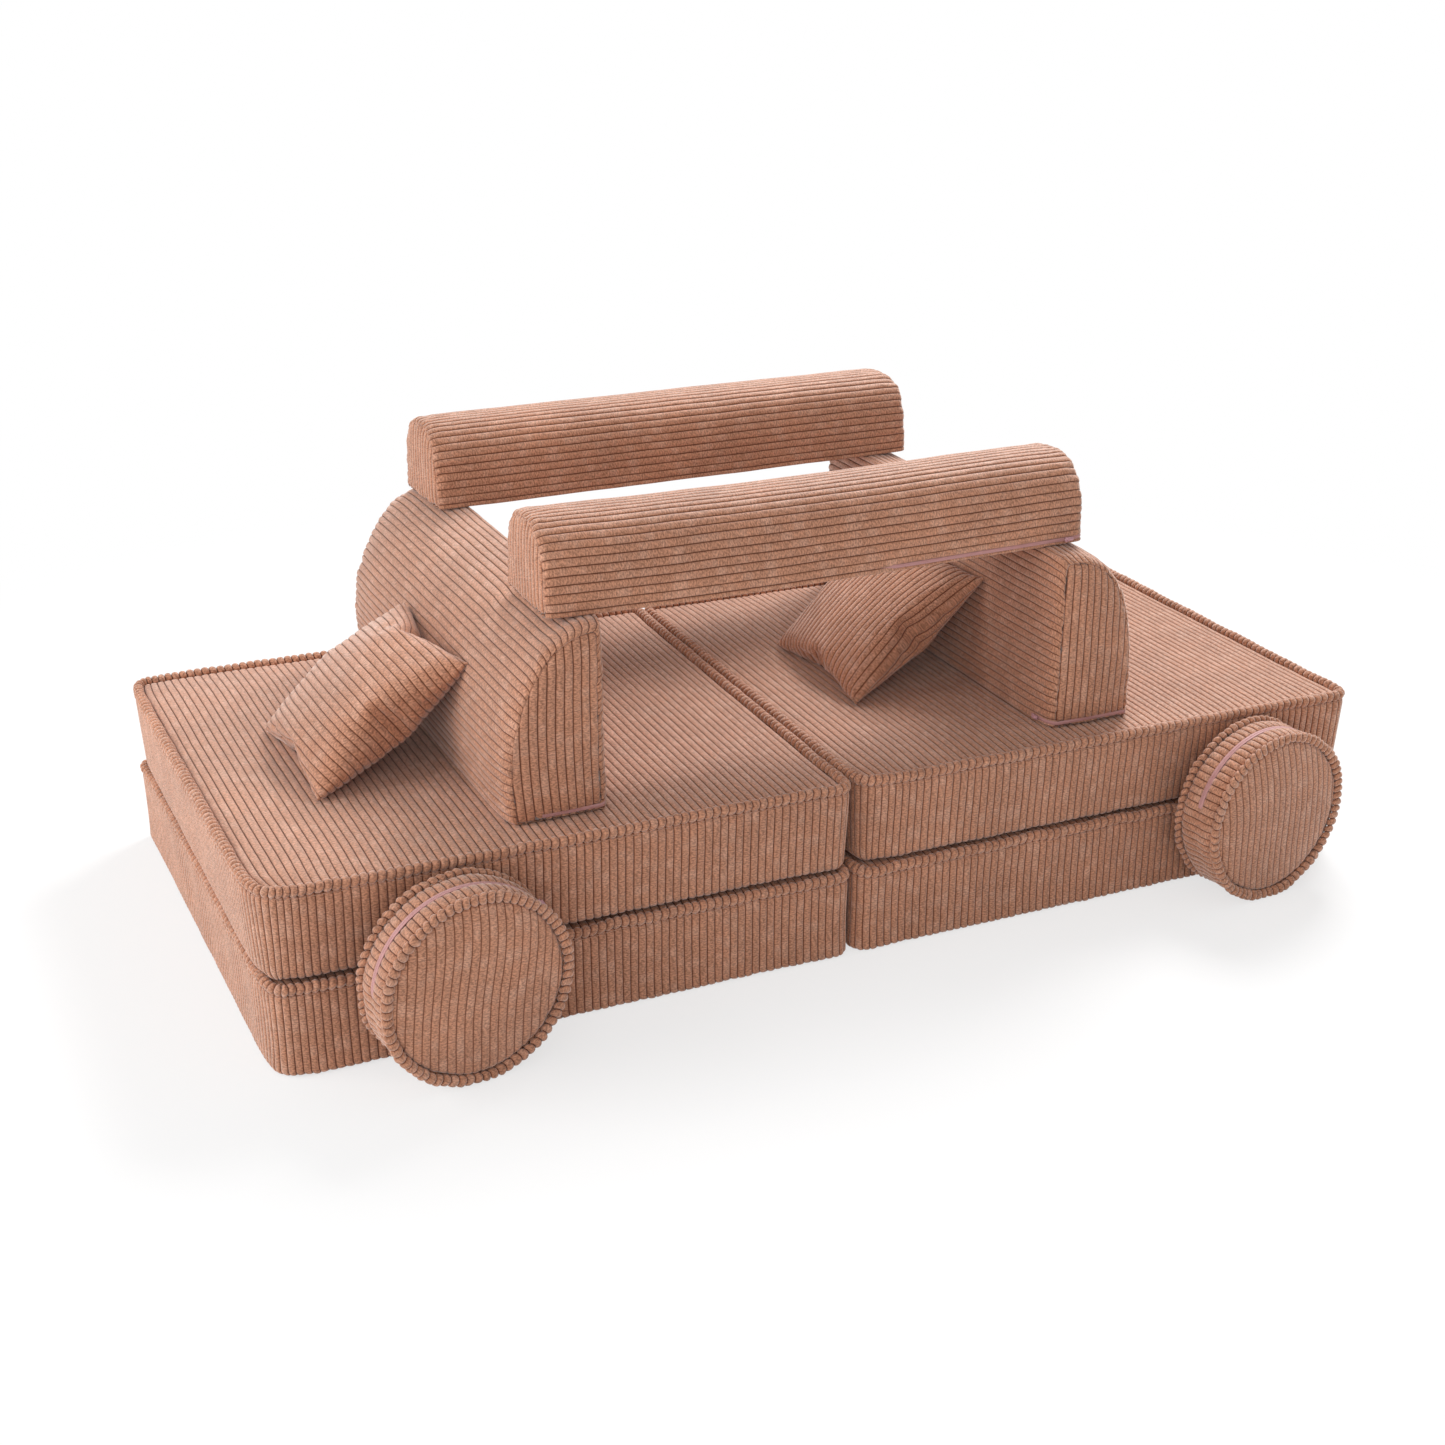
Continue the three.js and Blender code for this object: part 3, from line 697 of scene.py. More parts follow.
def pile_group() -> bpy.types.NodeTree:
    """Colour, roughness and height of a cut pile that lies in wales, with painted shade that
    darkens the valleys between them.

    Returns:
        The finished group.
    """
    group = NodeTree(bpy.data.node_groups.new("corduroy pile", "ShaderNodeTree"))
    face = group.tree.interface
    for name, kind in (("Weave", "NodeSocketVector"), ("Place", "NodeSocketVector"),
                       ("Crown", "NodeSocketColor"), ("Valley", "NodeSocketColor"),
                       ("Worn", "NodeSocketColor"), ("Blotches", "NodeSocketFloat")):
        face.new_socket(name, in_out="INPUT", socket_type=kind)
    for name, kind in (("Color", "NodeSocketColor"), ("Roughness", "NodeSocketFloat"),
                       ("Height", "NodeSocketFloat"), ("Gloss", "NodeSocketFloat")):
        face.new_socket(name, in_out="OUTPUT", socket_type=kind)
    given = group.node("NodeGroupInput").outputs
    split = group.fill(group.node("ShaderNodeSeparateXYZ"), {0: given["Weave"]}).outputs
    across, along = split[0], split[1]
    edge = group.off_crown(across)
    lane = group.combined(group.math("MULTIPLY", along, 0.45),
                          group.math("MULTIPLY", group.math("FLOOR", across), 3.7))
    slant = group.math("MULTIPLY_ADD", along, 1.1, group.math("MULTIPLY", across, 2.8))
    dash = group.combined(slant, group.math("MULTIPLY", along, 5.5))
    # Worn streaks, short flecks, wide patches, brushed patches and fibres.
    streaks, dashes, broad, brushed, fuzz = (
        group.noise(place, scale, seed, detail).outputs["Fac"]
        for place, scale, seed, detail in (
            (lane, 1.0, 2.0, 3.0), (dash, 1.0, 11.0, 3.0), (given["Place"], 8.0, 5.0, 2.0),
            (given["Place"], 30.0, 8.0, 3.0), (given["Place"], 900.0, 3.0, 3.0)))
    rubbed = group.math("MULTIPLY", group.ramp(streaks, 0.46, 0.66), given["Blotches"])
    tone = group.blend(rubbed, given["Crown"], given["Worn"])
    # Each is read between its low and high, and makes the cloth darker or paler.
    shade = group.ramp(broad, 0.3, 0.7, 0.94, 1.05)
    for part, low, high, start, end in ((dashes, 0.34, 0.66, -0.36, 0.30),
                                        (brushed, 0.35, 0.65, -0.04, 0.04),
                                        (fuzz, 0.3, 0.7, -0.09, 0.09)):
        shade = group.math("ADD", shade, group.ramp(part, low, high, start, end))
    # Share of the crown colour. Towards the valleys the colour turns to painted shade over the
    # darker ground weave.
    crown = group.ramp(edge, 0.985, 0.76)
    shine = group.ramp(dashes, 0.3, 0.7, 0.26, 0.66)
    group.fill(group.node("NodeGroupOutput"), {
        "Color": group.blend(crown, given["Valley"], group.scaled(tone, shade)),
        "Roughness": group.ramp(dashes, 0.3, 0.7, 0.88, 0.72),
        "Height": group.math("ADD", group.math("MULTIPLY", dashes, 0.7),
                             group.math("MULTIPLY", fuzz, 0.3)),
        "Gloss": group.math("MULTIPLY", group.ramp(edge, 0.92, 0.45), shine)})
    return group.tree


@dataclass(frozen=True)
class CorduroyFinish:
    """Blush wide-wale corduroy with a soft cut pile, and painted shade in the valleys between its
    wales.
    """

    crown: Four = (0.455, 0.207, 0.120, 1)
    # Painted shade in the valleys between wales, over the darker ground weave.
    valley: Four = (0.15, 0.050, 0.026, 1)
    worn: Four = (0.56, 0.31, 0.215, 1)
    blotches: float = 0.55
    sheen: float = 0.6
    sheen_roughness: float = 0.46
    sheen_tint: Four = (1.0, 0.94, 0.90, 1)
    gloss_roughness: float = 0.58
    specular: float = 0.1
    bump: float = 0.0013
    bump_strength: float = 0.8

    def material(self, group: bpy.types.NodeTree) -> bpy.types.Material:
        """Makes the material.

        Args:
            group: The pile's node group.

        Returns:
            The corduroy material.
        """
        material, nodes, shader = open_material("blush_corduroy")
        weave = nodes.node("ShaderNodeUVMap", uv_map="weave").outputs["UV"]
        place = nodes.node("ShaderNodeTexCoord").outputs["Object"]
        pile = nodes.fill(nodes.node("ShaderNodeGroup", node_tree=group),
                          {"Weave": weave, "Place": place, "Crown": self.crown,
                           "Valley": self.valley, "Worn": self.worn,
                           "Blotches": self.blotches}).outputs
        nodes.fill(shader, {
            "Base Color": pile["Color"], "Roughness": pile["Roughness"],
            "Coat Weight": pile["Gloss"], "Coat Roughness": self.gloss_roughness,
            "Sheen Weight": self.sheen, "Sheen Roughness": self.sheen_roughness,
            "Sheen Tint": self.sheen_tint, "Specular IOR Level": self.specular,
            "Normal": nodes.bump(pile["Height"], self.bump_strength, self.bump)})
        return material


@dataclass(frozen=True)
class ThreadFinish:
    """Spun thread, woven tape or moulded coil with fine cross ribs."""

    name: str
    colour: Four
    dark: Four
    roughness: float = 0.6
    grain: float = 1400.0
    sheen: float = 0.2
    bump: float = 0.0002
    bump_strength: float = 0.5

    def material(self) -> bpy.types.Material:
        """Makes the material.

        Returns:
            The finished material.
        """
        material, nodes, shader = open_material(self.name)
        place = nodes.node("ShaderNodeTexCoord").outputs["Object"]
        grain = nodes.noise(place, self.grain, 4.0, 2.0).outputs["Fac"]
        broad = nodes.noise(place, 30.0, 6.0, 2.0).outputs["Fac"]
        share = nodes.math("MULTIPLY_ADD", nodes.ramp(grain, 0.3, 0.7), 0.5,
                           nodes.ramp(broad, 0.3, 0.7, 0.0, 0.4))
        dull, glossy = self.roughness + 0.1, self.roughness - 0.1
        nodes.fill(shader, {
            "Base Color": nodes.blend(share, self.dark, self.colour),
            "Roughness": nodes.ramp(grain, 0.3, 0.7, dull, glossy), "Sheen Weight": self.sheen,
            "Normal": nodes.bump(grain, self.bump_strength, self.bump)})
        return material


TAPE = ThreadFinish("rose_zip_tape", (0.56, 0.30, 0.29, 1), (0.46, 0.22, 0.21, 1))
THREAD = ThreadFinish("blush_thread", (0.50, 0.29, 0.21, 1), (0.38, 0.21, 0.15, 1))
PAINT = ThreadFinish("rose_slider_paint", (0.58, 0.32, 0.35, 1), (0.54, 0.29, 0.32, 1),
                     roughness=0.42, grain=500.0, sheen=0.0)


@dataclass
class Wardrobe:
    """Every finish and form tree that the modules share."""

    corduroy: bpy.types.Material = field(init=False)
    tape: bpy.types.Material = field(init=False)
    thread: bpy.types.Material = field(init=False)
    paint: bpy.types.Material = field(init=False)
    wales: FormTree = field(init=False)
    beads: FormTree = field(init=False)

    def __post_init__(self) -> None:
        """Builds the finishes and trees once."""
        self.corduroy = CorduroyFinish().material(pile_group())
        self.tape, self.thread, self.paint = (it.material() for it in (TAPE, THREAD, PAINT))
        self.wales = wale_tree()
        self.beads = bead_tree()

    def declare(self, piece: bpy.types.Object, body: str, slot: Slot, *nodes: str,
                fill: float | None = None) -> None:
        """Hangs a finished piece on its body and hides the CAD nodes that it stands for.

        Args:
            piece: The finished piece.
            body: The body that it rides on.
            slot: Not used.
            *nodes: CAD nodes that it stands for.
            fill: Not used.
        """
        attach(piece, body)
        if nodes:
            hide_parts(*nodes)
        LOG.info("%s on %s: %d faces", piece.name, body, len(piece.data.polygons))

    def sew(self, mesh: SewnMesh, body: str, *nodes: str, fill: float | None = None,
            **sizes: float) -> None:
        """Finishes a piece of corduroy.

        Args:
            mesh: Its shells.
            body: The body that it rides on.
            *nodes: CAD nodes that it stands for.
            fill: How tight it is stuffed, where it is padded.
            **sizes: Values of the wale tree's inputs.
        """
        piece = mesh.object()
        self.wales.grow(piece, self.corduroy, **sizes)
        self.declare(piece, body, Slot.CORDUROY, *nodes, fill=fill)

    def paint_on(self, mesh: SewnMesh, material: bpy.types.Material, body: str, slot: Slot,
                 node: str) -> None:
        """Finishes a smooth piece.

        Args:
            mesh: Its shells.
            material: What it is dressed in.
            body: The body that it rides on.
            slot: Its material slot, passed on to declare.
            node: The CAD node that it stands for.
        """
        piece = mesh.object()
        piece.data.materials.append(material)
        self.declare(piece, body, slot, node)


# Seams and zips


@dataclass
class Run:
    """A path with, at each of its points, the way on and the way out.

    Attributes:
        points: Count by 3.
        out: Outward unit directions.
        run: Unit directions along the path.
    """

    points: np.ndarray
    out: np.ndarray
    run: np.ndarray

    @staticmethod
    def through(points: np.ndarray, out: np.ndarray, step: float, closed: bool = False) -> "Run":
        """Resamples a path evenly.

        Args:
            points: Points of the path.
            out: Outward directions at them.
            step: Distance between the new points.
            closed: Whether the last point joins the first.

        Returns:
            The evenly spaced run.
        """
        if closed:
            points, out = np.vstack([points, points[:1]]), np.vstack([out, out[:1]])
        reach = path_reach(points)
        count = max(2, int(round(reach[-1] / step)))
        marks = np.linspace(0, reach[-1], count + 1)[:count if closed else None]
        place, normal = read_path(marks, reach, points), read_path(marks, reach, out)
        normal /= np.linalg.norm(normal, axis=1, keepdims=True)
        if closed:
            ahead = np.roll(place, -1, axis=0) - np.roll(place, 1, axis=0)
        else:
            ahead = np.gradient(place, axis=0)
        ahead /= np.linalg.norm(ahead, axis=1, keepdims=True)
        return Run(place, normal, ahead)

    @staticmethod
    def straight(reach: float, y: float, z: float, count: int) -> tuple[np.ndarray, np.ndarray]:
        """A straight path along X that faces +Y.

        Args:
            reach: How far it goes to either side of the middle.
            y: Its place in Y.
            z: Its place in Z.
            count: Number of its points.

        Returns:
            Its points and their outward directions.
        """
        points = np.tile([0.0, y, z], (count, 1))
        points[:, 0] = np.linspace(-reach, reach, count)
        return points, np.tile([0.0, 1.0, 0.0], (count, 1))

    def moved(self, placement: Placement) -> "Run":
        """The same run in the shared frame."""
        return Run(placement.world(self.points), placement.direction(self.out),
                   placement.direction(self.run))

    def lifted(self, height: float) -> "Run":
        """The same run moved outwards."""
        return Run(self.points + self.out * height, self.out, self.run)

    def bead_source(self, name: str) -> bpy.types.Object:
        """A mesh of loose points that carries the run's directions.

        Args:
            name: Name of the object.

        Returns:
            The object.
        """
        mesh = bpy.data.meshes.new(name)
        mesh.vertices.add(len(self.points))
        mesh.vertices.foreach_set("co", self.points.ravel())
        for key, values in (("out", self.out), ("run", self.run)):
            layer = mesh.attributes.new(key, "FLOAT_VECTOR", "POINT")
            layer.data.foreach_set("vector", values.ravel())
        return in_scene(name, mesh)

    def band(self, section: np.ndarray) -> np.ndarray:
        """Sweeps a section along the run.

        Args:
            section: Points of outward and sideways offsets.

        Returns:
            A grid of points, one row for each point of the run.
        """
        side = np.cross(self.out, self.run)
        return (self.points[:, None, :] + self.out[:, None, :] * section[None, :, :1]
                + side[:, None, :] * section[None, :, 1:])


@dataclass
class Zip:
    """A closed coil zip in a module's cover, with its slider.

    Attributes:
        name: Name of the module.
        run: Where the coil runs, on the cover's outside.
        width: Width of the tape.
        sink: How deep the tape lies under the cover's outside.
        slider_place: How far the slider's middle is from the zip's start.
    """

    name: str
    run: Run
    width: float = 0.010
    sink: float = 0.0012
    slider_place: float = 0.012
    tape_thickness: float = 0.0012
    coil_pitch: float = 0.0022
    coil_width: float = 0.0034
    coil_height: float = 0.0014
    slider_length: float = 0.014
    slider_width: float = 0.0068

    def build(self, wardrobe: Wardrobe) -> None:
        """Builds the tape with its coil, and the slider.

        Args:
            wardrobe: Shared finishes and trees.
        """
        self.build_tape(wardrobe)
        self.build_coil(wardrobe)
        self.build_slider(wardrobe)

    def build_tape(self, wardrobe: Wardrobe) -> None:
        """Builds the two woven halves of the tape, which meet in a shallow groove.

        Args:
            wardrobe: Shared finishes and trees.
        """
        half = self.width / 2
        # Outward and sideways offsets from one edge to the groove, then mirrored.
        top = [(-0.0002, -half), (0.0001, -half * 0.8), (0.0001, -half * 0.45),
               (0.0003, -half * 0.2)]
        top += [(-0.0002, 0.0)] + [(rise, -side) for rise, side in top[::-1]]
        section = np.array(top + [(-self.tape_thickness, half), (-self.tape_thickness, -half)])
        grid = self.run.lifted(-self.sink).band(section)
        mesh = SewnMesh(f"{self.name}_zip_tape")
        mesh.add(Panel(grid, np.linspace(0, 1, len(section)), np.arange(len(grid))[:, None] * 0.2,
                       relief=0.0, span=1.0), Closing.TUBE)
        wardrobe.paint_on(mesh, wardrobe.tape, self.name, Slot.ZIP_TAPE, f"{self.name}_zip")

    def build_coil(self, wardrobe: Wardrobe) -> None:
        """Builds the turns of the coil.

        Args:
            wardrobe: Shared finishes and trees.
        """
        even = Run.through(self.run.points, self.run.out, self.coil_pitch)
        even = Run(even.points[1:-1], even.out[1:-1], even.run[1:-1])
        piece = even.lifted(-self.sink).bead_source(f"{self.name}_zip_coil")
        wardrobe.beads.grow(piece, wardrobe.tape, length=self.coil_pitch * 0.95,
                            width=self.coil_width, height=self.coil_height, segments=8, rings=4)
        wardrobe.declare(piece, self.name, Slot.ZIP_TAPE)
        LOG.info("%s zip is %.0f mm long", self.name, path_reach(self.run.points)[-1] / MM)

    def build_slider(self, wardrobe: Wardrobe) -> None:
        """Builds the slider: a waisted plate, its two guides and the lug on top.

        Args:
            wardrobe: Shared finishes and trees.
        """
        at = int(np.searchsorted(path_reach(self.run.points), self.slider_place))
        point, out, run = self.run.points[at], self.run.out[at], self.run.run[at]
        side = np.cross(out, run)
        half_l, half_w = self.slider_length / 2, self.slider_width / 2
        # Outlines as shares of the slider's half length and width, with their lowest and
        # highest levels over the run.
        plate = [(1.0, 0.0), (0.93, 0.55), (0.6, 0.95), (0.0, 0.82), (-0.6, 0.66), (-0.94, 0.5),
                 (-1.0, 0.0)]
        plate += [(x, -y) for x, y in plate[-2:0:-1]]
        shapes = [(np.array(plate) * (half_l, half_w), 0.0016, 0.0030)]
        for sign in (-1, 1):
            wall = np.array([(-0.9, 0.55), (0.85, 0.75), (0.85, 0.95), (-0.9, 0.72)])
            shapes.append((wall * (half_l, sign * half_w), 0.0003, 0.0020))
        lug = np.array([(0.5, 0.22), (0.5, -0.22), (-0.5, -0.22), (-0.5, 0.22)])
        shapes.append((lug * (half_l, half_w * 1.4), 0.0028, 0.0047))
        mesh = SewnMesh(f"{self.name}_zip_slider")
        for outline, low, high in shapes:
            bevel = min(0.0004, (high - low) / 3)
            middle = outline.mean(axis=0)
            arm = np.linalg.norm(outline - middle, axis=1, keepdims=True)
            rows = []
            for level, shrink in ((low, bevel), (low + bevel, 0), (high - bevel, 0),
                                  (high - bevel * 0.3, bevel * 0.4), (high, bevel)):
                ring = middle + (outline - middle) * (1 - shrink / arm)
                rows.append(point + out * level + ring[:, :1] * run + ring[:, 1:] * side)
            plain = np.zeros(len(outline))
            mesh.add(Panel(np.array(rows), plain, plain, relief=0.0), Closing.TUBE)
        wardrobe.paint_on(mesh, wardrobe.paint, f"{self.name}_pull", Slot.SLIDER_PAINT,
                          f"{self.name}_slider")


def stitch_seam(name: str, run: Run, wardrobe: Wardrobe, body: str) -> None:
    """Sews a visible run of stitches.

    Args:
        name: Name of the piece.
        run: Evenly spaced stitch places in the shared frame.
        wardrobe: Shared finishes and trees.
        body: The body that the seam rides on.
    """
    piece = run.bead_source(name)
    wardrobe.beads.grow(piece, wardrobe.thread, length=0.0042, width=0.0011, height=0.0009,
                        segments=6, rings=4)
    wardrobe.declare(piece, body, Slot.CORDUROY)


# Modules


@dataclass
class Mattress:
    """A square foam mattress in a boxed cover with a knuckled welt round its top.

    Attributes:
        name: Name of the module.
        centre: Middle in plan.
        base: Height of its underside.
        slack: How loosely the cover sits, 0 to 1.
        seed: Seed of its folds.
        creep: How far each corner has crept in plan, in the order of CORNERS.
        tuck: How far the boxing leans in at the underside.
        blunt: How far each corner is pressed in, in the order of CORNERS.
    """

    CORNERS = ((-1, -1), (1, -1), (1, 1), (-1, 1))  # from the front left one, round by the right

    name: str
    centre: Pair
    base: float
    slack: float
    seed: int
    creep: tuple[Pair, Pair, Pair, Pair]
    tuck: float = 0.0
    blunt: Four = (0.0, 0.0, 0.0, 0.0)
    blunt_reach: float = 0.032
    length: float = 0.799
    depth: float = 0.758
    height: float = 0.125
    corner: float = 0.024
    edge: float = 0.014
    crown: float = 0.003
    crown_run: float = 0.110
    roll: float = 0.0058
    draw_in: float = 0.0015
    flat_share: float = 0.8
    welt: float = 0.013
    puff: float = 0.0016
    rise: float = 0.0026
    fold: float = 0.0016
    swell: float = 0.0008
    knuckle_slant: float = 0.12
    welt_steps: int = 12
    stitch_step: float = 0.0055
    zip_height: float = 0.058
    wale_count: int = 280

    def placed(self, points: np.ndarray) -> np.ndarray:
        """Lets the corners creep, and moves points to the shared frame.

        Args:
            points: Points in the module's own axes.

        Returns:
            The points in the shared frame.
        """
        u, v = points[..., 0] / self.length + 0.5, points[..., 1] / self.depth + 0.5
        share = np.stack([(1 - u) * (1 - v), u * (1 - v), u * v, (1 - u) * v], axis=-1)
        crept = points + np.array([self.centre[0], self.centre[1], self.base])
        crept[..., :2] += share @ np.array(self.creep)
        for corner, depth in zip(np.array(self.CORNERS), self.blunt):
            away = points[..., :2] - corner * (self.length / 2, self.depth / 2)
            near = depth * np.exp(-(away ** 2).sum(axis=-1) / (2 * self.blunt_reach ** 2))
            crept[..., :2] -= near[..., None] * corner
        crept[..., 2] = np.maximum(crept[..., 2], CLEARANCE)
        return crept

    def build(self, wardrobe: Wardrobe) -> None:
        """Builds cover, welt, seam and zip.

        Args:
            wardrobe: Shared finishes and trees.
        """
        self.build_cover(wardrobe)
        self.build_welt(wardrobe)
        self.build_zip(wardrobe)

    def drawn(self, place: np.ndarray, run: float) -> np.ndarray:
        """How fully a side is drawn in at places along it, run being half its straight part."""
        return smooth((1 - np.abs(place) / run) / (1 - self.flat_share), 0, 1)

    def outline(self, places: np.ndarray) -> tuple[np.ndarray, np.ndarray]:
        """Walks the plan outline at full size.

        Args:
            places: Distances round it in wale units, from the middle of the right side.

        Returns:
            Points and outward normals, each with a last axis of 2.
        """
        points, normals = [], []
        straight = [(self.length / 2, self.depth / 2), (self.depth / 2, self.length / 2)]
        for quarter in range(4):
            reach, half = straight[quarter % 2]
            turn = quarter * math.pi / 2
            spin = np.array([[math.cos(turn), math.sin(turn)], [-math.sin(turn), math.cos(turn)]])
            run = half - self.corner
            side = np.linspace(-run, run, 160, endpoint=False)
            flank = np.stack([reach - self.draw_in * self.drawn(side, run), side], axis=1)
            angle = np.linspace(0, math.pi / 2, 40, endpoint=False)
            ray = np.stack([np.cos(angle), np.sin(angle)], axis=1)
            turned = np.array([reach - self.corner, run]) + self.corner * ray
            points.append(np.vstack([flank, turned]) @ spin)
            normals.append(np.vstack([np.tile([1.0, 0.0], (len(side), 1)), ray]) @ spin)
        point, normal = np.vstack(points), np.vstack(normals)
        gaps = np.linalg.norm(np.roll(point, -1, axis=0) - point, axis=1)
        reach = np.concatenate([[0], np.cumsum(gaps)[:-1]])
        total = gaps.sum()
        where = (places / self.wale_count) * total
        out = read_path(where, reach, normal, total)
        out /= np.linalg.norm(out, axis=-1, keepdims=True)
        return read_path(where, reach, point, total), out

    def ring(self, inset: float, level: float, shift: float = 0.0) -> np.ndarray:
        """One ring of the boxing or the welt.

        Args:
            inset: Distance in from the outline.
            level: Height over the underside.
            shift: Sideways slant in wale units.

        Returns:
            Points round the module in its own axes.
        """
        marks = lane_marks(self.wale_count)
        point, out = self.outline(marks + shift)
        turn, share = marks / self.wale_count, min(1, level / self.height)
        fold = self.slack * self.fold
        sway = fold * (waves(turn, self.seed, 5, 31) - 1.0)
        dip = fold * (waves(turn, self.seed + 1, 7, 43) - 1.2) * smooth(level, 0.03, 0.12)
        inset += self.tuck * (1 - share) ** 1.5
        plan = point + out * (sway[:, None] * math.sin(math.pi * share) - inset)
        return np.column_stack([plan, np.full(len(plan), level) + dip])

    def build_cover(self, wardrobe: Wardrobe) -> None:
        """Builds the boxing, the top panel and the underside.

        Args:
            wardrobe: Shared finishes and trees.
        """
        mesh = SewnMesh(f"{self.name}_mattress_cover")
        top = self.height - self.welt + self.rise
        # Inset, level and slant of each ring: round the lower edge, up the flank and under
        # the welt, and back down inside.
        hem = [(self.edge - 0.0005, 0.0022, 0.50)]
        for angle in (8, 24, 40, 56, 73, 90):
            a = math.radians(angle)
            hem.append((self.edge * (1 - math.sin(a)), self.edge * (1 - math.cos(a)),
                        0.45 * (1 - angle / 90) ** 1.2))
        flank = [(0.0, level, 0.0) for level in np.linspace(0.024, top - 0.012, 5)]
        flank += [(0.0, top - 0.007, 0.0), (0.0006, top - 0.003, 0.0), (0.0022, top, 0.0),
                  (0.0042, top + 0.0012, 0.0)]
        inner = [(0.012, top - 0.001, 0.0), (0.012, 0.05, 0.0), (0.018, 0.004, 0.0)]
        rows = hem + flank + inner
        grid = [self.ring(inset, level, shift) for inset, level, shift in rows]
        relief = [0.35, 0.8] + [1.0] * (len(hem + flank) - 5) + [0.9, 0.6, 0.3]
        pucker = [1.0, 1.0, 0.9, 0.6, 0.3] + [0.0] * (len(hem + flank) - 8) + [0.3, 0.5, 0.2]
        along, relief, pucker = (
            np.array(values)[:, None] for values in
            ([level for _, level, _ in rows], relief + [0.0] * 3, pucker + [0.0] * 3))
        mesh.add(Panel(self.placed(np.array(grid)), lane_marks(self.wale_count), along / PITCH,
                       relief, pucker, self.wale_count), Closing.RING)
        for panel, level in ((self.top_panel(), self.height - 0.03), (self.base_panel(), 0.02)):
            mesh.add(panel, Closing.SLAB, self.placed(np.array([0, 0, level])))
        wardrobe.sew(mesh, self.name, f"{self.name}_cover", f"{self.name}_core", fill=0.9,
                     height=0.0027, wander=0.0003 + 0.0003 * self.slack,
                     pucker=0.0009 + 0.0007 * self.slack, pucker_scale=55, seed=self.seed)

    def panel_grid(self, inset: float, ends: np.ndarray, spacing: float) -> tuple[np.ndarray, ...]:
        """Lays columns along the wales of a flat panel inside the outline.

        Args:
            inset: Distance of the panel's border from the outline.
            ends: Distances from the border at which rows stand near the ends.
            spacing: Distance between the rows in the middle.

        Returns:
            Plan x and y, distance from the border, and place across, each rows by columns.
        """
        half_x, half_y = self.length / 2 - inset, self.depth / 2 - inset
        radius = max(self.corner - inset, 0.004)
        x = panel_columns(half_x, np.array([0, 0.0005, 0.0014, 0.0028, 0.0045]), 0.0065)
        over = np.clip(np.abs(x) - (half_x - radius), 0, radius)
        reach = half_y - radius + np.sqrt(radius**2 - over**2)
        y = panel_rows(reach, ends[:, None], int(2 * half_y / spacing))
        x_grid = np.broadcast_to(x, y.shape)
        away = np.stack([np.abs(x_grid) - (half_x - radius), np.abs(y) - (half_y - radius)])
        outside = np.linalg.norm(np.maximum(away, 0), axis=0)
        border = radius - outside - np.minimum(away.max(axis=0), 0)
        share_x = self.drawn(y, self.depth / 2 - self.corner)
        share_y = self.drawn(x_grid, self.length / 2 - self.corner)
        drawn_x = x_grid * (1 - self.draw_in * share_x / half_x)
        drawn_y = y * (1 - self.draw_in * share_y / half_y)
        return drawn_x, drawn_y, np.maximum(border, 0), x_grid / PITCH

    def top_panel(self) -> Panel:
        """The crowned top, whose wales run from front to back and roll into the welt.

        Returns:
            The panel.
        """
        ends = np.array([0, 0.0006, 0.0016, 0.003, 0.005, 0.008, 0.014, 0.024])
        x, y, border, across = self.panel_grid(self.welt + 0.0006, ends, 0.022)
        crown = crowned(border, self.crown, self.crown_run)
        fall = self.roll * 1.25 * rolled(border, self.roll)
        high = self.slack * self.swell
        swell = high * np.sin(x * 19 + self.seed) * np.sin(y * 23 + 2 * self.seed)
        z = self.height - crown - fall + swell - high
        welt = self.length / 2 - self.welt
        side = smooth(np.abs(across) * PITCH, welt - 0.012, welt - 0.006)
        relief = (1 - 0.75 * side) * (0.45 + 0.55 * smooth(border, 0.0004, 0.003))
        return Panel(self.placed(np.stack([x, y, z], axis=-1)), across, y / PITCH, relief,
                     0.35 * (1 - smooth(border, 0.004, 0.03)))

    def base_panel(self) -> Panel:
        """The flat underside with its wales from front to back.

        Returns:
            The panel.
        """
        ends = np.array([0, 0.001, 0.004, 0.012])
        x, y, border, across = self.panel_grid(self.edge - 0.0015 + self.tuck, ends, 0.09)
        z = 0.0026 * (1 - smooth(border, 0, 0.006)) + 0.0002
        return Panel(self.placed(np.stack([x, y, z], axis=-1)), across, y / PITCH, 0.7, 0.0)

    def build_welt(self, wardrobe: Wardrobe) -> None:
        """Builds the knuckled welt and the topstitching under it.

        Args:
            wardrobe: Shared finishes and trees.
        """
        mesh = SewnMesh(f"{self.name}_mattress_welt")
        half = self.welt / 2
        full = half + self.puff
        grid, angles = [], even_angles(self.welt_steps)
        for a in angles:
            squeeze = 1 - 0.10 * max(0.0, math.sin(-a))
            inset = half - full * math.cos(a) * squeeze
            level = self.height + self.rise - half + full * math.sin(a)
            grid.append(self.ring(inset, level, self.knuckle_slant * math.sin(a)))
        mesh.add(Panel(self.placed(np.array(grid)), lane_marks(self.wale_count),
                       angles[:, None] * half / PITCH, 1.0, 0.6, self.wale_count), Closing.RING)
        wardrobe.sew(mesh, self.name, f"{self.name}_welt", height=0.0044, roundness=2.2,
                     wander=0.0004 + 0.0005 * self.slack, wander_scale=30,
                     pucker=0.0006 + 0.0006 * self.slack, pucker_scale=70, seed=self.seed + 3)
        line = self.placed(self.ring(0.0016, self.height + self.rise - self.welt - 0.0008))
        out = self.outline(lane_marks(self.wale_count))[1]
        out = np.column_stack([out, np.zeros(len(out))])
        run = Run.through(line, out, self.stitch_step, closed=True)
        stitch_seam(f"{self.name}_welt_stitches", run, wardrobe, self.name)

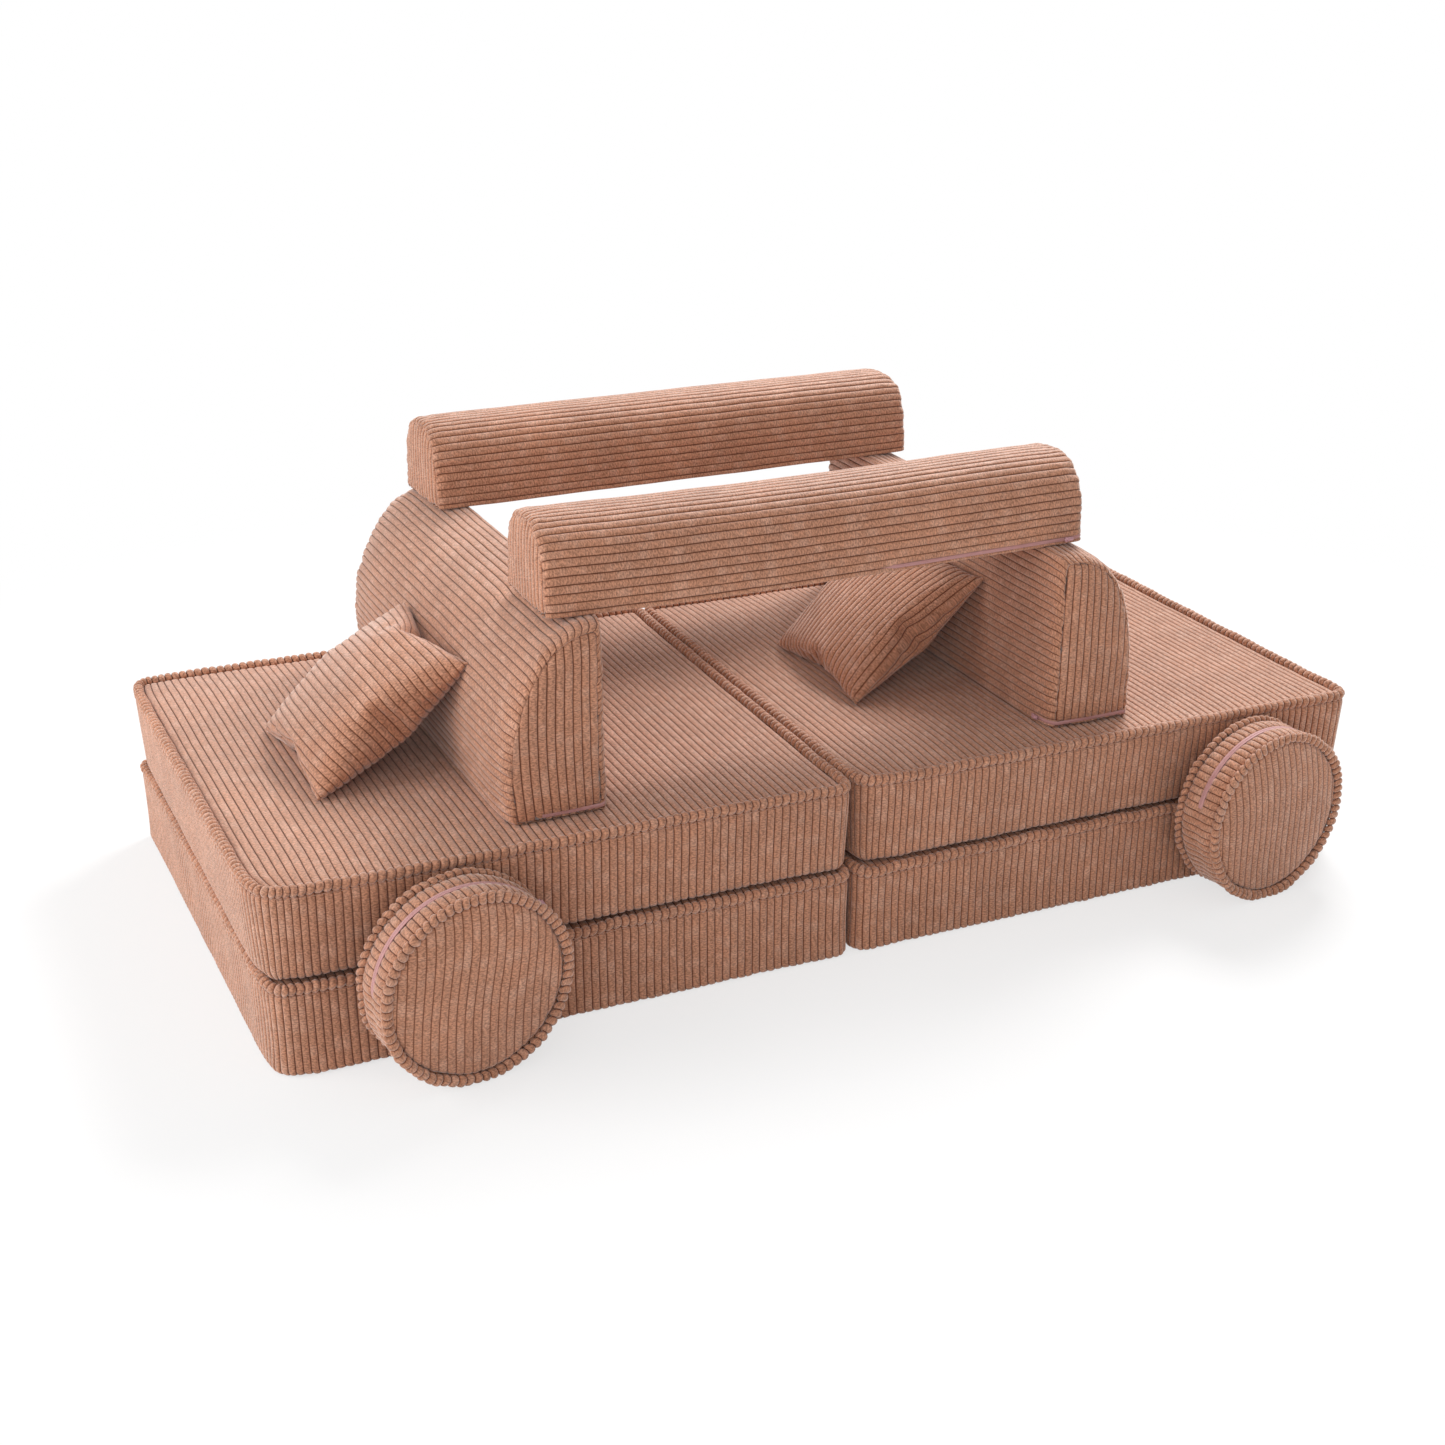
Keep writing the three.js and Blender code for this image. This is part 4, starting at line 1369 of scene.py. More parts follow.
    def build_zip(self, wardrobe: Wardrobe) -> None:
        """Builds the zip in the back of the boxing.

        Args:
            wardrobe: Shared finishes and trees.
        """
        reach = self.flat_share * (self.length / 2 - self.corner) - 0.024
        back = self.depth / 2 - self.draw_in
        points, out = Run.straight(reach, back, self.zip_height, 120)
        Zip(self.name, Run.through(self.placed(points), out, 0.004), sink=-0.0006).build(wardrobe)


@dataclass
class Bolster:
    """A long foam block with a shaped section, one flat base and two sewn caps.

    Length along local Y, base at local z 0.

    Attributes:
        name: Name of the module.
        placement: Where it stands.
        flat_side: +1 or -1 where one side is upright, 0 where it is domed on both.
        zip_side: Side of the long zip.
        zip_start: Where the zip starts on the cap, from the zip side's far edge.
        seed: Seed of its folds.
        bulge: How far the lower half of a curved side stands out.
        draw: How far the stretched cover draws the section in at the ends, and over what run.
        sag: How far it sags between what carries it.
        press: Where along it, how widely and how deeply its top is pressed.
        zip_shown: Share of the length along which the zip shows before the cloth covers it.
        lane: Heights of the zip's recess: foot, low edge, high edge and lip.
        lane_depth: How deep that recess is in the skin, and in the cap.
        folds: Height of the folds at the ends, and of the sway in mid-length.
        cap_roll: How deep a cap's border rolls into its seam, and over what run.
        cap_bulge: How far a cap stands out in its middle.
        cap_hollow: Over what run a cap rises from its seam.
    """

    # Places along the length, and the share of the sag at each.
    HANG = ((-0.5, -0.3, -0.1, 0.1, 0.3, 0.4, 0.5), (0, 0.35, 0.75, 0.95, 0.95, 0.75, 0.5))

    name: str
    placement: Placement
    length: float
    width: float
    height: float
    roundness: float
    flat_side: int
    zip_side: int
    zip_start: float
    seed: int
    edge: float = 0.016
    bulge: float = 0.0
    draw: Pair = (0.0080, 0.030)
    sag: float = 0.0
    press: Triple = (0.0, 0.080, 0.0)
    zip_shown: float = 0.04
    seam_angle: float = 50.0
    base_round: float = 0.004
    top_round: float = 0.010
    zip_height: float = 0.0062
    zip_width: float = 0.0050
    zip_sink: float = 0.0014
    zip_cover: float = 0.0022
    lane: Four = (0.0028, 0.0038, 0.0086, 0.0098)
    lane_depth: Pair = (0.0028, 0.0026)
    folds: Pair = (0.0012, 0.0010)
    cap_roll: Pair = (0.0048, 0.005)
    cap_bulge: float = 0.0016
    cap_hollow: float = 0.034

    def build(self, wardrobe: Wardrobe) -> None:
        """Builds the cover and the zip."""
        self.build_cover(wardrobe)
        self.build_zip(wardrobe)

    def settled(self, points: np.ndarray) -> np.ndarray:
        """Lets points in the module's own axes sag and give under what lies on them.

        Args:
            points: Points in the module's own axes.

        Returns:
            The lowered points.
        """
        y, z = points[..., 1], points[..., 2]
        hang = np.interp(y / self.length, *self.HANG)
        at, half, depth = self.press
        given = smooth(np.abs(y - at), half + 0.014, half - 0.008)
        given *= smooth(z, self.height * 0.7, self.height)
        sunk = points.copy()
        curved = np.clip(0.5 - self.flat_side * points[..., 0] / self.width, 0, 1)
        out = self.bulge * np.sin(math.pi * np.clip(z / self.height / 0.8, 0, 1)) * curved
        sunk[..., 0] -= self.flat_side * out
        sunk[..., 2] = z - self.sag * hang - depth * given
        return sunk

    def half_section(self) -> np.ndarray:
        """The outline of the section as a dense closed path, from one base corner round the top.

        Returns:
            Points of local x and z.
        """
        half, top = self.width / 2, self.height
        power = 2 / self.roundness
        if self.flat_side == 0:
            a = np.linspace(0, math.pi, 240)
            x = half * np.sign(np.cos(a)) * np.abs(np.cos(a)) ** power
            arc = np.column_stack([x, top * np.sin(a) ** power])
        else:
            a = np.linspace(0, math.pi / 2, 160)
            x = half - 2 * half * np.cos(a) ** power
            z = top * np.sin(a) ** power
            down = np.linspace(top, 0, 61)[1:]
            side = np.column_stack([np.full_like(down, self.flat_side * half), down])
            arc = np.vstack([np.column_stack([self.flat_side * x, z]), side])
        return self.rounded(np.vstack([arc, arc[:1]]))

    def rounded(self, path: np.ndarray) -> np.ndarray:
        """Resamples a closed path evenly and rounds its corners a little.

        Args:
            path: Points of the path.

        Returns:
            The rounded path.
        """
        reach, count = path_reach(path), 900
        step = reach[-1] / count
        even = read_path(np.linspace(0, reach[-1], count, endpoint=False), reach, path)
        soft = softened(even, np.hanning((int(self.base_round / step) | 1) + 2)[1:-1])
        softer = softened(even, np.hanning(int(self.top_round * 1.6 / step) | 1))
        share = smooth(self.height - soft[:, 1], 0.06, 0.03)[:, None]
        return soft * (1 - share) + softer * share

    def columns(self) -> tuple[np.ndarray, np.ndarray, int]:
        """Section points at the wales' marks.

        Returns:
            Points of x and z, places across in wale units, and the number of wales.
        """
        path = self.half_section()
        closed = np.vstack([path, path[:1]])
        reach = path_reach(closed)
        count = int(round(reach[-1] / PITCH))
        scale = reach[-1] / count
        marks = list(lane_marks(count))
        for side in (-1, 1):
            for level in self.lane:
                upright = side * closed[:-1, 0] > self.width * 0.4
                gap = np.where(upright, np.abs(closed[:-1, 1] - level), 1.0)
                marks.append(reach[int(np.argmin(gap))] / scale)
        across = np.unique(np.round(marks, 4))
        across = across[np.concatenate([[True], np.diff(across) > 0.02])]
        return read_path(across * scale, reach, closed), across, count

    def zip_lane(self, points: np.ndarray) -> np.ndarray:
        """How much of the zip's recess there is at points in the module's own axes.

        Args:
            points: Points in the module's own axes.

        Returns:
            Share of the recess at each point.
        """
        foot, low, high, lip = self.lane
        level = np.minimum(smooth(points[..., 2], foot, low), smooth(points[..., 2], lip, high))
        half, end = self.width / 2, -self.length / 2
        towards = points[..., 0] * self.zip_side
        beside = smooth(towards, half - 0.030, half - 0.018) * (1 - self.covered(points[..., 1]))
        start = self.zip_start - half
        cap = smooth(points[..., 1], end + 0.014, end + 0.008)
        cap *= smooth(towards, start - 0.003, start)
        return level * np.maximum(beside, cap)

    def covered(self, y: np.ndarray) -> np.ndarray:
        """How far the cloth has closed over the long part of the zip."""
        end = self.zip_shown * self.length - self.length / 2
        return smooth(y, end, end + 0.05)

    def drawn(self, depth: np.ndarray | float) -> np.ndarray | float:
        """How far the stretched cover draws the section in at a depth from the end."""
        return self.draw[0] * np.exp(-depth / self.draw[1])

    def seam(self, share: float = 1.0) -> Pair:
        """How far the cap seam, or a share of the way to it, lies in from section and end."""
        a = math.radians(self.seam_angle * share)
        return self.edge * (1 - math.cos(a)), self.edge * (1 - math.sin(a))

    def skin(self) -> Panel:
        """The long skin, whose wales run the length and pucker into the cap seams.

        Returns:
            The panel.
        """
        section, across, count = self.columns()
        half, top = self.width / 2, self.height
        inset, depth = self.seam()
        # Inset and depth of each station: tucked under the cap, the seam, the rolled edge,
        # and the first part of the flank.
        end = [(inset + 0.0044, depth + 0.0055), (inset + 0.0032, depth + 0.0014)]
        end += [self.seam(share) for share in (1.0, 0.78, 0.54, 0.28, 0.0)]
        end += [(0, depth) for depth in (0.020, 0.025, 0.031, 0.038)]
        middle = np.linspace(-1, 1, 30)[1:-1] * (self.length / 2 - end[-1][1])
        stations = [(inset, depth - self.length / 2) for inset, depth in end]
        stations += [(0, y) for y in middle]
        stations += [(inset, self.length / 2 - depth) for inset, depth in end[::-1]]
        turn, (fold, sway) = across / count, self.folds
        rows = []
        for inset, y in stations:
            depth = self.length / 2 - abs(y)
            end_seed = self.seed + (2 if y > 0 else 1)
            sag = fold * waves(turn, end_seed, 9, 37) * math.exp(-depth / 0.05)
            body = sway * waves(turn, self.seed + 5, 2, 7) * math.sin(math.pi * y / self.length)
            grow = 1 + (body + sag - fold) / half
            inset = inset + self.drawn(depth)
            x = section[:, 0] * (half - inset) / half * np.where(section[:, 1] > 0.02, grow, 1)
            z = section[:, 1] * (top - inset) / top
            rows.append(np.column_stack([x, np.full(len(x), y), z]))
        points = np.array(rows)
        depth = self.length / 2 - np.abs(points[..., 1])
        lane = self.zip_lane(points)
        points[..., 0] -= np.sign(points[..., 0]) * self.lane_depth[0] * lane
        tucked = [0.0, 0.15, 0.55, 0.8, 1.0]
        tucked = np.array(tucked + [1.0] * (len(stations) - 10) + tucked[::-1])
        relief = tucked[:, None] * (1 - lane)
        pucker = smooth(depth, 0.06, 0.004) * smooth(points[..., 2], 0.0, 0.02)
        return Panel(points, across, points[..., 1] / PITCH, relief, pucker, count)

    def cap(self, side: int) -> Panel:
        """One end panel, whose wales stand upright.

        Args:
            side: -1 for the near end, +1 for the far one.

        Returns:
            The panel, in the module's own axes.
        """
        half, top = self.width / 2, self.height
        seam_inset, seam_depth = self.seam()
        inset = seam_inset + self.drawn(seam_depth) + 0.0014
        path = self.half_section()
        path = path * ((half - inset) / half, (top - inset) / top)
        reach = half - inset
        x = panel_columns(reach, np.array([0.0006, 0.0016, 0.0032]), 0.005)
        upper = path[path[:, 1] > 0.004]
        order = np.argsort(upper[:, 0])
        ceiling = np.interp(x, upper[order, 0], upper[order, 1])
        if self.flat_side != 0:
            edge = np.abs(x - self.flat_side * reach)
            ceiling = np.minimum(ceiling, top - inset - np.maximum(0, 0.006 - edge) * 0.8)
        ends = np.array([0, 0.0006, 0.0018, 0.0035, 0.006, 0.010])
        foot, low, high, lip = self.lane
        # Levels of the lowest rows, which follow the zip's recess.
        floor_marks = np.array([0.0016, 0.0024, foot, low, self.zip_height, high, lip, 0.017])
        rows = [np.minimum(np.full_like(x, mark), ceiling * (0.2 + mark * 20))
                for mark in floor_marks]
        for share in np.linspace(0, 1, max(8, int(top / 0.012)))[1:-1]:
            rows.append(rows[len(floor_marks) - 1] * (1 - share) + (ceiling - ends[-1]) * share)
        rows += [np.maximum(ceiling - gap, rows[-1]) for gap in ends[::-1]]
        z = np.array(rows)
        x_grid = np.broadcast_to(x, z.shape)
        gap_top = ceiling[None, :] - z
        gap_side = reach - np.abs(x_grid)
        border = np.minimum(np.minimum(gap_top, gap_side), np.maximum(z - 0.0012, 0))
        fall = self.cap_roll[0] * rolled(border, self.cap_roll[1])
        sewn = np.clip(np.minimum(gap_top, gap_side) / self.cap_hollow, 0, 1)
        bulge = self.cap_bulge * np.clip(gap_side / 0.04, 0, 1) * np.clip(gap_top / 0.05, 0, 1)
        depth = fall + (seam_depth - 0.0006) * (1 - sewn) ** 2 + 0.0004 - bulge
        y = side * (self.length / 2 - depth)
        points = np.stack([x_grid, y, z], axis=-1)
        lane = self.zip_lane(points) if side < 0 else np.zeros_like(z)
        points[..., 1] -= side * self.lane_depth[1] * lane
        relief = (0.3 + 0.7 * smooth(border, 0.0002, 0.003)) * (1 - lane)
        pucker = smooth(border, 0.014, 0.002) * (1 - lane)
        return Panel(points, x_grid / PITCH, z / PITCH, relief, pucker)

    def build_cover(self, wardrobe: Wardrobe) -> None:
        """Builds the skin and both caps.

        Args:
            wardrobe: Shared finishes and trees.
        """
        mesh = SewnMesh(f"{self.name}_bolster_cover")
        for side in (0, -1, 1):
            panel = self.cap(side) if side else self.skin()
            hub = np.array([0, side * (self.length / 2 - 0.012), self.height * 0.45])
            panel.points = self.placement.world(self.settled(panel.points))
            mesh.add(panel, Closing.SLAB if side else Closing.TUBE,
                     self.placement.world(hub) if side else None)
        wardrobe.sew(mesh, self.name, f"{self.name}_cover", f"{self.name}_core", fill=0.85,
                     height=0.0027, wander=0.0006, pucker=0.0018, pucker_scale=52, seed=self.seed)

    def build_zip(self, wardrobe: Wardrobe) -> None:
        """Builds the zip that starts on the near cap, turns the corner and runs along one side.

        Args:
            wardrobe: Shared finishes and trees.
        """
        s, half, cap = self.zip_side, self.width / 2, -self.length / 2
        points = [(s * (self.zip_start - half), cap, self.zip_height)]
        outs = [(0.0, -1.0, 0.0)]
        for step in range(9):
            a = math.pi / 2 * step / 8
            out = (s * math.sin(a), -math.cos(a), 0.0)
            points.append((s * (half - self.edge) + self.edge * out[0],
                           cap + self.edge + self.edge * out[1], self.zip_height))
            outs.append(out)
        points.append((s * half, -cap - self.edge - 0.024, self.zip_height))
        outs.append((float(s), 0.0, 0.0))
        run = Run.through(np.array(points), np.array(outs), 0.003)
        depth = self.length / 2 - np.abs(run.points[:, 1])
        drawn = self.drawn(depth) * np.abs(run.out[:, 0])
        sunk = drawn + self.zip_cover * self.covered(run.points[:, 1])
        run.points = self.settled(run.points - run.out * sunk[:, None])
        lead = abs(points[1][0] - points[0][0]) + self.edge * math.pi / 2
        Zip(self.name, run.moved(self.placement), width=self.zip_width, sink=self.zip_sink,
            slider_place=lead + 0.012).build(wardrobe)


@dataclass
class Wheel:
    """A round foam cushion that stands as a wheel. Its axis is local Y, its centre the origin.

    Attributes:
        name: Name of the module.
        placement: Where its centre is and how it is turned.
        tilt: Lean of its faces' wales from upright, in degrees.
        seed: Seed of its folds.
        zip_shown: Where round the rim the cloth has closed over the zip, in degrees.
        hem: How far a face's cloth reaches under the welt.
        face_roll: How deep a face's border rolls into its welt, and over what run.
        sway: How far a face's wales sway.
        uneven: How far the rim is out of round.
        floor_give: How far the rim gives where it stands, and up to what height.
    """

    name: str
    placement: Placement
    tilt: float
    seed: int
    radius: float = 0.125
    thickness: float = 0.082
    sink: float = 0.003
    crown: float = 0.005
    crown_run: float = 0.070
    welt_width: float = 0.012
    welt_height: float = 0.013
    wale_count: int = 70
    zip_from: float = 28.0
    zip_to: float = 192.0
    zip_shown: float = 170.0
    hem: float = 0.0074
    face_roll: Pair = (0.0072, 0.006)
    sway: float = 0.0050
    uneven: float = 0.0008
    floor_give: Pair = (0.0025, 0.018)
    knuckle_slant: float = 0.18
    knuckle: float = 0.0012
    welt_steps: int = 12
    zip_width: float = 0.0076
    zip_cover: float = 0.0024

    def build(self, wardrobe: Wardrobe) -> None:
        """Builds the cover, its two welts and the zip.

        Args:
            wardrobe: Shared finishes and trees.
        """
        self.build_cover(wardrobe)
        self.build_welts(wardrobe)
        self.build_zip(wardrobe)

    def settled(self, points: np.ndarray) -> np.ndarray:
        """Moves points to the shared frame and flattens them a little on the floor.

        Args:
            points: Points in the module's own axes.

        Returns:
            The points in the shared frame.
        """
        world = self.placement.world(points)
        z, (give, height) = world[..., 2], self.floor_give
        world[..., 2] = np.maximum(CLEARANCE, z - give * np.exp(-((z / height) ** 2)))
        return world

    def ring(self, radius: float, y: float, shift: float = 0.0) -> np.ndarray:
        """One ring about the axis.

        Args:
            radius: Its radius.
            y: Its place along the axis.
            shift: Slant in wale units.

        Returns:
            Points in the module's own axes.
        """
        marks = lane_marks(self.wale_count)
        turn = (marks + shift) / self.wale_count
        angle = 2 * math.pi * turn
        arm = radius + self.uneven * waves(turn, self.seed, 2, 13) - 0.0006
        return np.column_stack([arm * np.cos(angle), np.full(len(turn), y), arm * np.sin(angle)])

    def build_cover(self, wardrobe: Wardrobe) -> None:
        """Builds the rim strip and the two faces.

        Args:
            wardrobe: Shared finishes and trees.
        """
        mesh = SewnMesh(f"{self.name}_cushion_cover")
        edge = self.thickness / 2 - self.welt_width
        outer = self.radius - self.sink
        # Place along the axis and rise over the rim: the seam, the flank, the zip's lips and
        # its recess, then mirrored.
        profile = [(-edge - 0.002, -0.0075), (-edge + 0.0004, -0.0040), (-edge + 0.002, -0.0015),
                   (-edge + 0.005, 0.0), (-0.018, 0.0010), (-0.012, 0.0010), (-0.0060, 0.0002),
                   (-0.0040, -0.0010), (-0.0027, -0.0018), (0.0, -0.0018)]
        profile += [(-y, drop) for y, drop in profile[-2::-1]]
        marks = lane_marks(self.wale_count)
        angle = np.degrees(2 * math.pi * marks / self.wale_count)
        open_share = smooth(angle, self.zip_from - 2, self.zip_from)
        open_share *= smooth(angle, self.zip_shown, self.zip_shown - 8)
        rows, relief = [], []
        for y, drop in profile:
            ring = self.ring(outer, y)
            near_zip = abs(y) < 0.0050
            sunk = np.where(near_zip, drop * open_share, drop)
            if near_zip:
                sunk = sunk - 0.0014 * open_share * (1 if abs(y) < 0.0035 else 0.2)
            factor = 1 + sunk / outer
            rows.append(ring * np.column_stack([factor, np.ones_like(factor), factor]))
            lane = smooth(abs(y), 0.0028, 0.0055) if near_zip else 1.0
            seam = 0.5 if abs(y) > edge - 0.001 else 1.0
            relief.append(seam * (1 - open_share * (1 - lane)))
        inner = self.radius - 0.020
        rows += [self.ring(inner, edge * 0.8), self.ring(inner, -edge * 0.8)]
        relief += [np.zeros(len(marks))] * 2
        along = [y for y, _ in profile] + [edge + 0.01, edge + 0.02]
        mesh.add(Panel(self.settled(np.array(rows)), marks, np.array(along)[:, None] / PITCH,
                       np.array(relief), 0.3, self.wale_count), Closing.RING)
        for side in (-1, 1):
            hub = self.settled(np.array([0, side * (self.thickness / 2 - 0.025), 0]))
            mesh.add(self.face(side), Closing.SLAB, hub)
        wardrobe.sew(mesh, self.name, f"{self.name}_cover", f"{self.name}_core", fill=0.85,
                     height=0.0027, wander=0.0006, wander_scale=16, pucker=0.0008,
                     pucker_scale=60, seed=self.seed)

    def face(self, side: int) -> Panel:
        """One face, whose wales stand almost upright with a slight sway.

        Args:
            side: -1 for the front, +1 for the back.

        Returns:
            The panel in the shared frame.
        """
        seat = self.radius - self.welt_height - 0.0004 + self.hem
        x = panel_columns(seat, np.array([0.0004, 0.0040, 0.0072, 0.0088, 0.0110]), 0.0130)
        reach = np.sqrt(seat**2 - x**2)
        ends = np.array([0, 0.0040, 0.0074, 0.0082, 0.0094, 0.0112, 0.0136])
        ends = np.minimum(ends[:, None], reach[None, :] * np.linspace(0, 0.9, len(ends))[:, None])
        z = panel_rows(reach, ends, 24)
        x_grid = np.broadcast_to(x, z.shape)
        squared = x_grid**2 + z**2
        border = np.maximum(seat - self.hem - np.sqrt(squared), 0)
        crown = crowned(border, self.crown, self.crown_run)
        under = 0.0010 * smooth(np.sqrt(squared), seat - 0.006, seat - 0.002)
        fall = self.face_roll[0] * rolled(border, self.face_roll[1])
        depth = self.thickness / 2 - crown - fall + under
        inside = np.clip(1 - squared / seat**2, 0, 1)
        lean = math.radians(self.tilt) * side * -1
        swayed = x_grid + self.sway * inside * np.sin(z / seat * 2.6 + self.seed)
        turned_x = swayed * math.cos(lean) + z * math.sin(lean)
        turned_z = z * math.cos(lean) - swayed * math.sin(lean)
        points = np.stack([turned_x, side * depth, turned_z], axis=-1)
        relief = 0.35 + 0.65 * smooth(border, 0.0003, 0.0035)
        return Panel(self.settled(points), x_grid / PITCH + 0.5, z / PITCH, relief,
                     0.8 * smooth(border, 0.02, 0.002))

    def build_welts(self, wardrobe: Wardrobe) -> None:
        """Builds the knuckled welts round both faces.

        Args:
            wardrobe: Shared finishes and trees.
        """
        for side, end in ((-1, "front"), (1, "back")):
            mesh = SewnMesh(f"{self.name}_{end}_cushion_welt")
            rows, angles = [], even_angles(self.welt_steps)
            for a in angles:
                sink = self.welt_height / 2 * (1 - math.cos(a))
                y = side * (self.thickness / 2 - self.welt_width / 2 * (1 - math.sin(a)))
                rows.append(self.ring(self.radius - sink + self.knuckle * math.cos(a), y,
                                      self.knuckle_slant * math.sin(a)))
            mesh.add(Panel(self.settled(np.array(rows)), lane_marks(self.wale_count),
                           angles[:, None] * self.welt_height / 2 / PITCH, 1.0, 0.8,
                           self.wale_count), Closing.RING)
            wardrobe.sew(mesh, self.name, f"{self.name}_{end}_welt", height=0.0048, roundness=2.2,
                         wander=0.0009, wander_scale=30, pucker=0.0013, pucker_scale=60,
                         seed=self.seed + side)

    def build_zip(self, wardrobe: Wardrobe) -> None:
        """Builds the zip along the middle of the rim.

        Args:
            wardrobe: Shared finishes and trees.
        """
        angle = np.radians(np.linspace(self.zip_from, self.zip_to, 90))
        out = np.column_stack([np.cos(angle), np.zeros(len(angle)), np.sin(angle)])
        under = self.zip_cover * smooth(np.degrees(angle), self.zip_shown - 8, self.zip_shown)
        reach = self.radius - self.sink - under
        run = Run.through(out * reach[:, None], out, 0.003).moved(self.placement)
        Zip(self.name, run, width=self.zip_width, sink=0.0012).build(wardrobe)


@dataclass
class Pillow:
    """A knife-edged square pillow. Local X goes up its slope and local Z is its upper side.

    Attributes:
        name: Name of the module.
        placement: Where its middle is, how it is turned and how far it leans.
        up_slope: Whether its wales run up the slope.
        seed: Seed of its folds.
    """

    name: str
    placement: Placement
    up_slope: bool
    seed: int
    side: float = 0.258
    thickness: float = 0.092
    unfilled: float = 0.056
    seam: float = 0.0045
    cells: int = 36
    frames: int = 24
    floor: float = SEAT
    wale_count: int = 24
    hem_relief: float = 0.55
    zip_length: float = 0.150
    zip_width: float = 0.006
    draw_in: float = 0.010

    def build(self, wardrobe: Wardrobe) -> None:
        """Builds the cover and the zip."""
        self.build_cover(wardrobe)
        self.build_zip(wardrobe)

    def start_form(self, thickness: float, draw_in: float = 0.0) -> np.ndarray:
        """A plain pillow as two sheets, each cells + 1 square.

        Args:
            thickness: Its thickness in the middle.
            draw_in: How far the middles of its sides are drawn in.

        Returns:
            Points as 2 by rows by columns by 3, the upper sheet first.
        """
        place = np.linspace(-1, 1, self.cells + 1)
        u, v = np.meshgrid(place, place, indexing="ij")
        half = self.side / 2
        swell = (thickness / 2 - self.seam / 2) * ((1 - u**2) * (1 - v**2)) ** 0.5
        x, y = (half * a * (1 - draw_in / half * (1 - np.abs(b) ** 3)) for a, b in ((u, v), (v, u)))
        return np.array([np.stack([x, y, side * (self.seam / 2 + swell)], axis=-1)
                         for side in (1, -1)])

    def stuffed(self) -> np.ndarray:
        """The pillow after its filling has pushed its two sheets apart.

        Returns:
            Points as 2 by rows by columns by 3.
        """
        start = self.start_form(self.unfilled)
        mesh = SewnMesh(f"{self.name}_filling_trial")
        plain = np.zeros(self.cells + 1)
        mesh.add_pair(*(Panel(sheet, plain, plain) for sheet in start))
        trial = mesh.object()
        cloth = trial.modifiers.new("filling", "CLOTH")
        settings = cloth.settings
        settings.quality = 8
        settings.mass = 0.25
        settings.tension_stiffness = settings.compression_stiffness = 18
        settings.shear_stiffness = 8
        settings.bending_stiffness = 0.6
        settings.air_damping = 2
        settings.use_pressure = True
        settings.uniform_pressure_force = 5.0
        settings.effector_weights.gravity = 0
        cloth.collision_settings.use_collision = False
        cloth.collision_settings.use_self_collision = False
        scene = bpy.context.scene
        cloth.point_cache.frame_start, cloth.point_cache.frame_end = 1, self.frames
        for step in range(1, self.frames + 1):
            scene.frame_set(step)
        graph = bpy.context.evaluated_depsgraph_get()
        result = trial.evaluated_get(graph).to_mesh()
        points = np.empty(len(result.vertices) * 3)
        result.vertices.foreach_get("co", points)
        bpy.data.objects.remove(trial)
        scene.frame_set(1)
        form = points.reshape(start.shape)
        low, high = (ends(form, axis=(0, 1, 2)) for ends in (np.min, np.max))
        LOG.info("%s swelled to %.0f x %.0f x %.0f mm", self.name, *((high - low) / MM))
        limits = np.array([self.side, self.side, self.thickness])
        return (form - (high + low) / 2) * (limits / (high - low))

    def build_cover(self, wardrobe: Wardrobe) -> None:
        """Builds the two sheets of the cover with their wales.

        Args:
            wardrobe: Shared finishes and trees.
        """
        form = self.stuffed()
        marks = lane_marks_between(0.5, self.wale_count + 0.5)
        lanes = (marks - 0.5) / self.wale_count
        ends = np.array([0, 0.004, 0.010, 0.018, 0.030, 0.045, 0.065, 0.09])
        rows = np.concatenate([ends, np.linspace(0.09, 0.91, 26)[1:-1], 1 - ends[::-1]])
        u, v = (rows, lanes) if self.up_slope else (lanes, rows)
        read_u = cubic_weights(u * self.cells, self.cells + 1)
        read_v = cubic_weights(v * self.cells, self.cells + 1)
        sheets = []
        for sheet in form:
            fine = np.einsum("ai,ijk,bj->abk", read_u, sheet, read_v)
            if not self.up_slope:
                fine = fine.transpose(1, 0, 2)
            away, beside = (np.minimum(part, 1 - part) * self.side for part in (rows, lanes))
            border = np.minimum(away[:, None], beside[None, :])
            relief = self.hem_relief + (1 - self.hem_relief) * smooth(border, 0.0, 0.005)
            world = self.placement.world(fine)
            world[..., 2] += np.maximum(self.floor - world[..., 2], 0)
            sheets.append(Panel(world, marks, (rows * self.side / PITCH)[:, None], relief,
                                smooth(border, 0.05, 0.0)))
        mesh = SewnMesh(f"{self.name}_pillow_cover")
        mesh.add_pair(*sheets)
        wardrobe.sew(mesh, self.name, f"{self.name}_cover", f"{self.name}_filling", fill=0.6,
                     height=0.0022, wander=0.0006, pucker=0.0013, pucker_scale=50, seed=self.seed)

    def build_zip(self, wardrobe: Wardrobe) -> None:
        """Builds the short zip in the far side seam.

        Args:
            wardrobe: Shared finishes and trees.
        """
        path = Run.straight(self.zip_length / 2, self.side / 2 - self.draw_in, 0.0, 60)
        run = Run.through(*path, 0.003).moved(self.placement)
        Zip(self.name, run, width=self.zip_width, sink=0.0).build(wardrobe)


# The studio


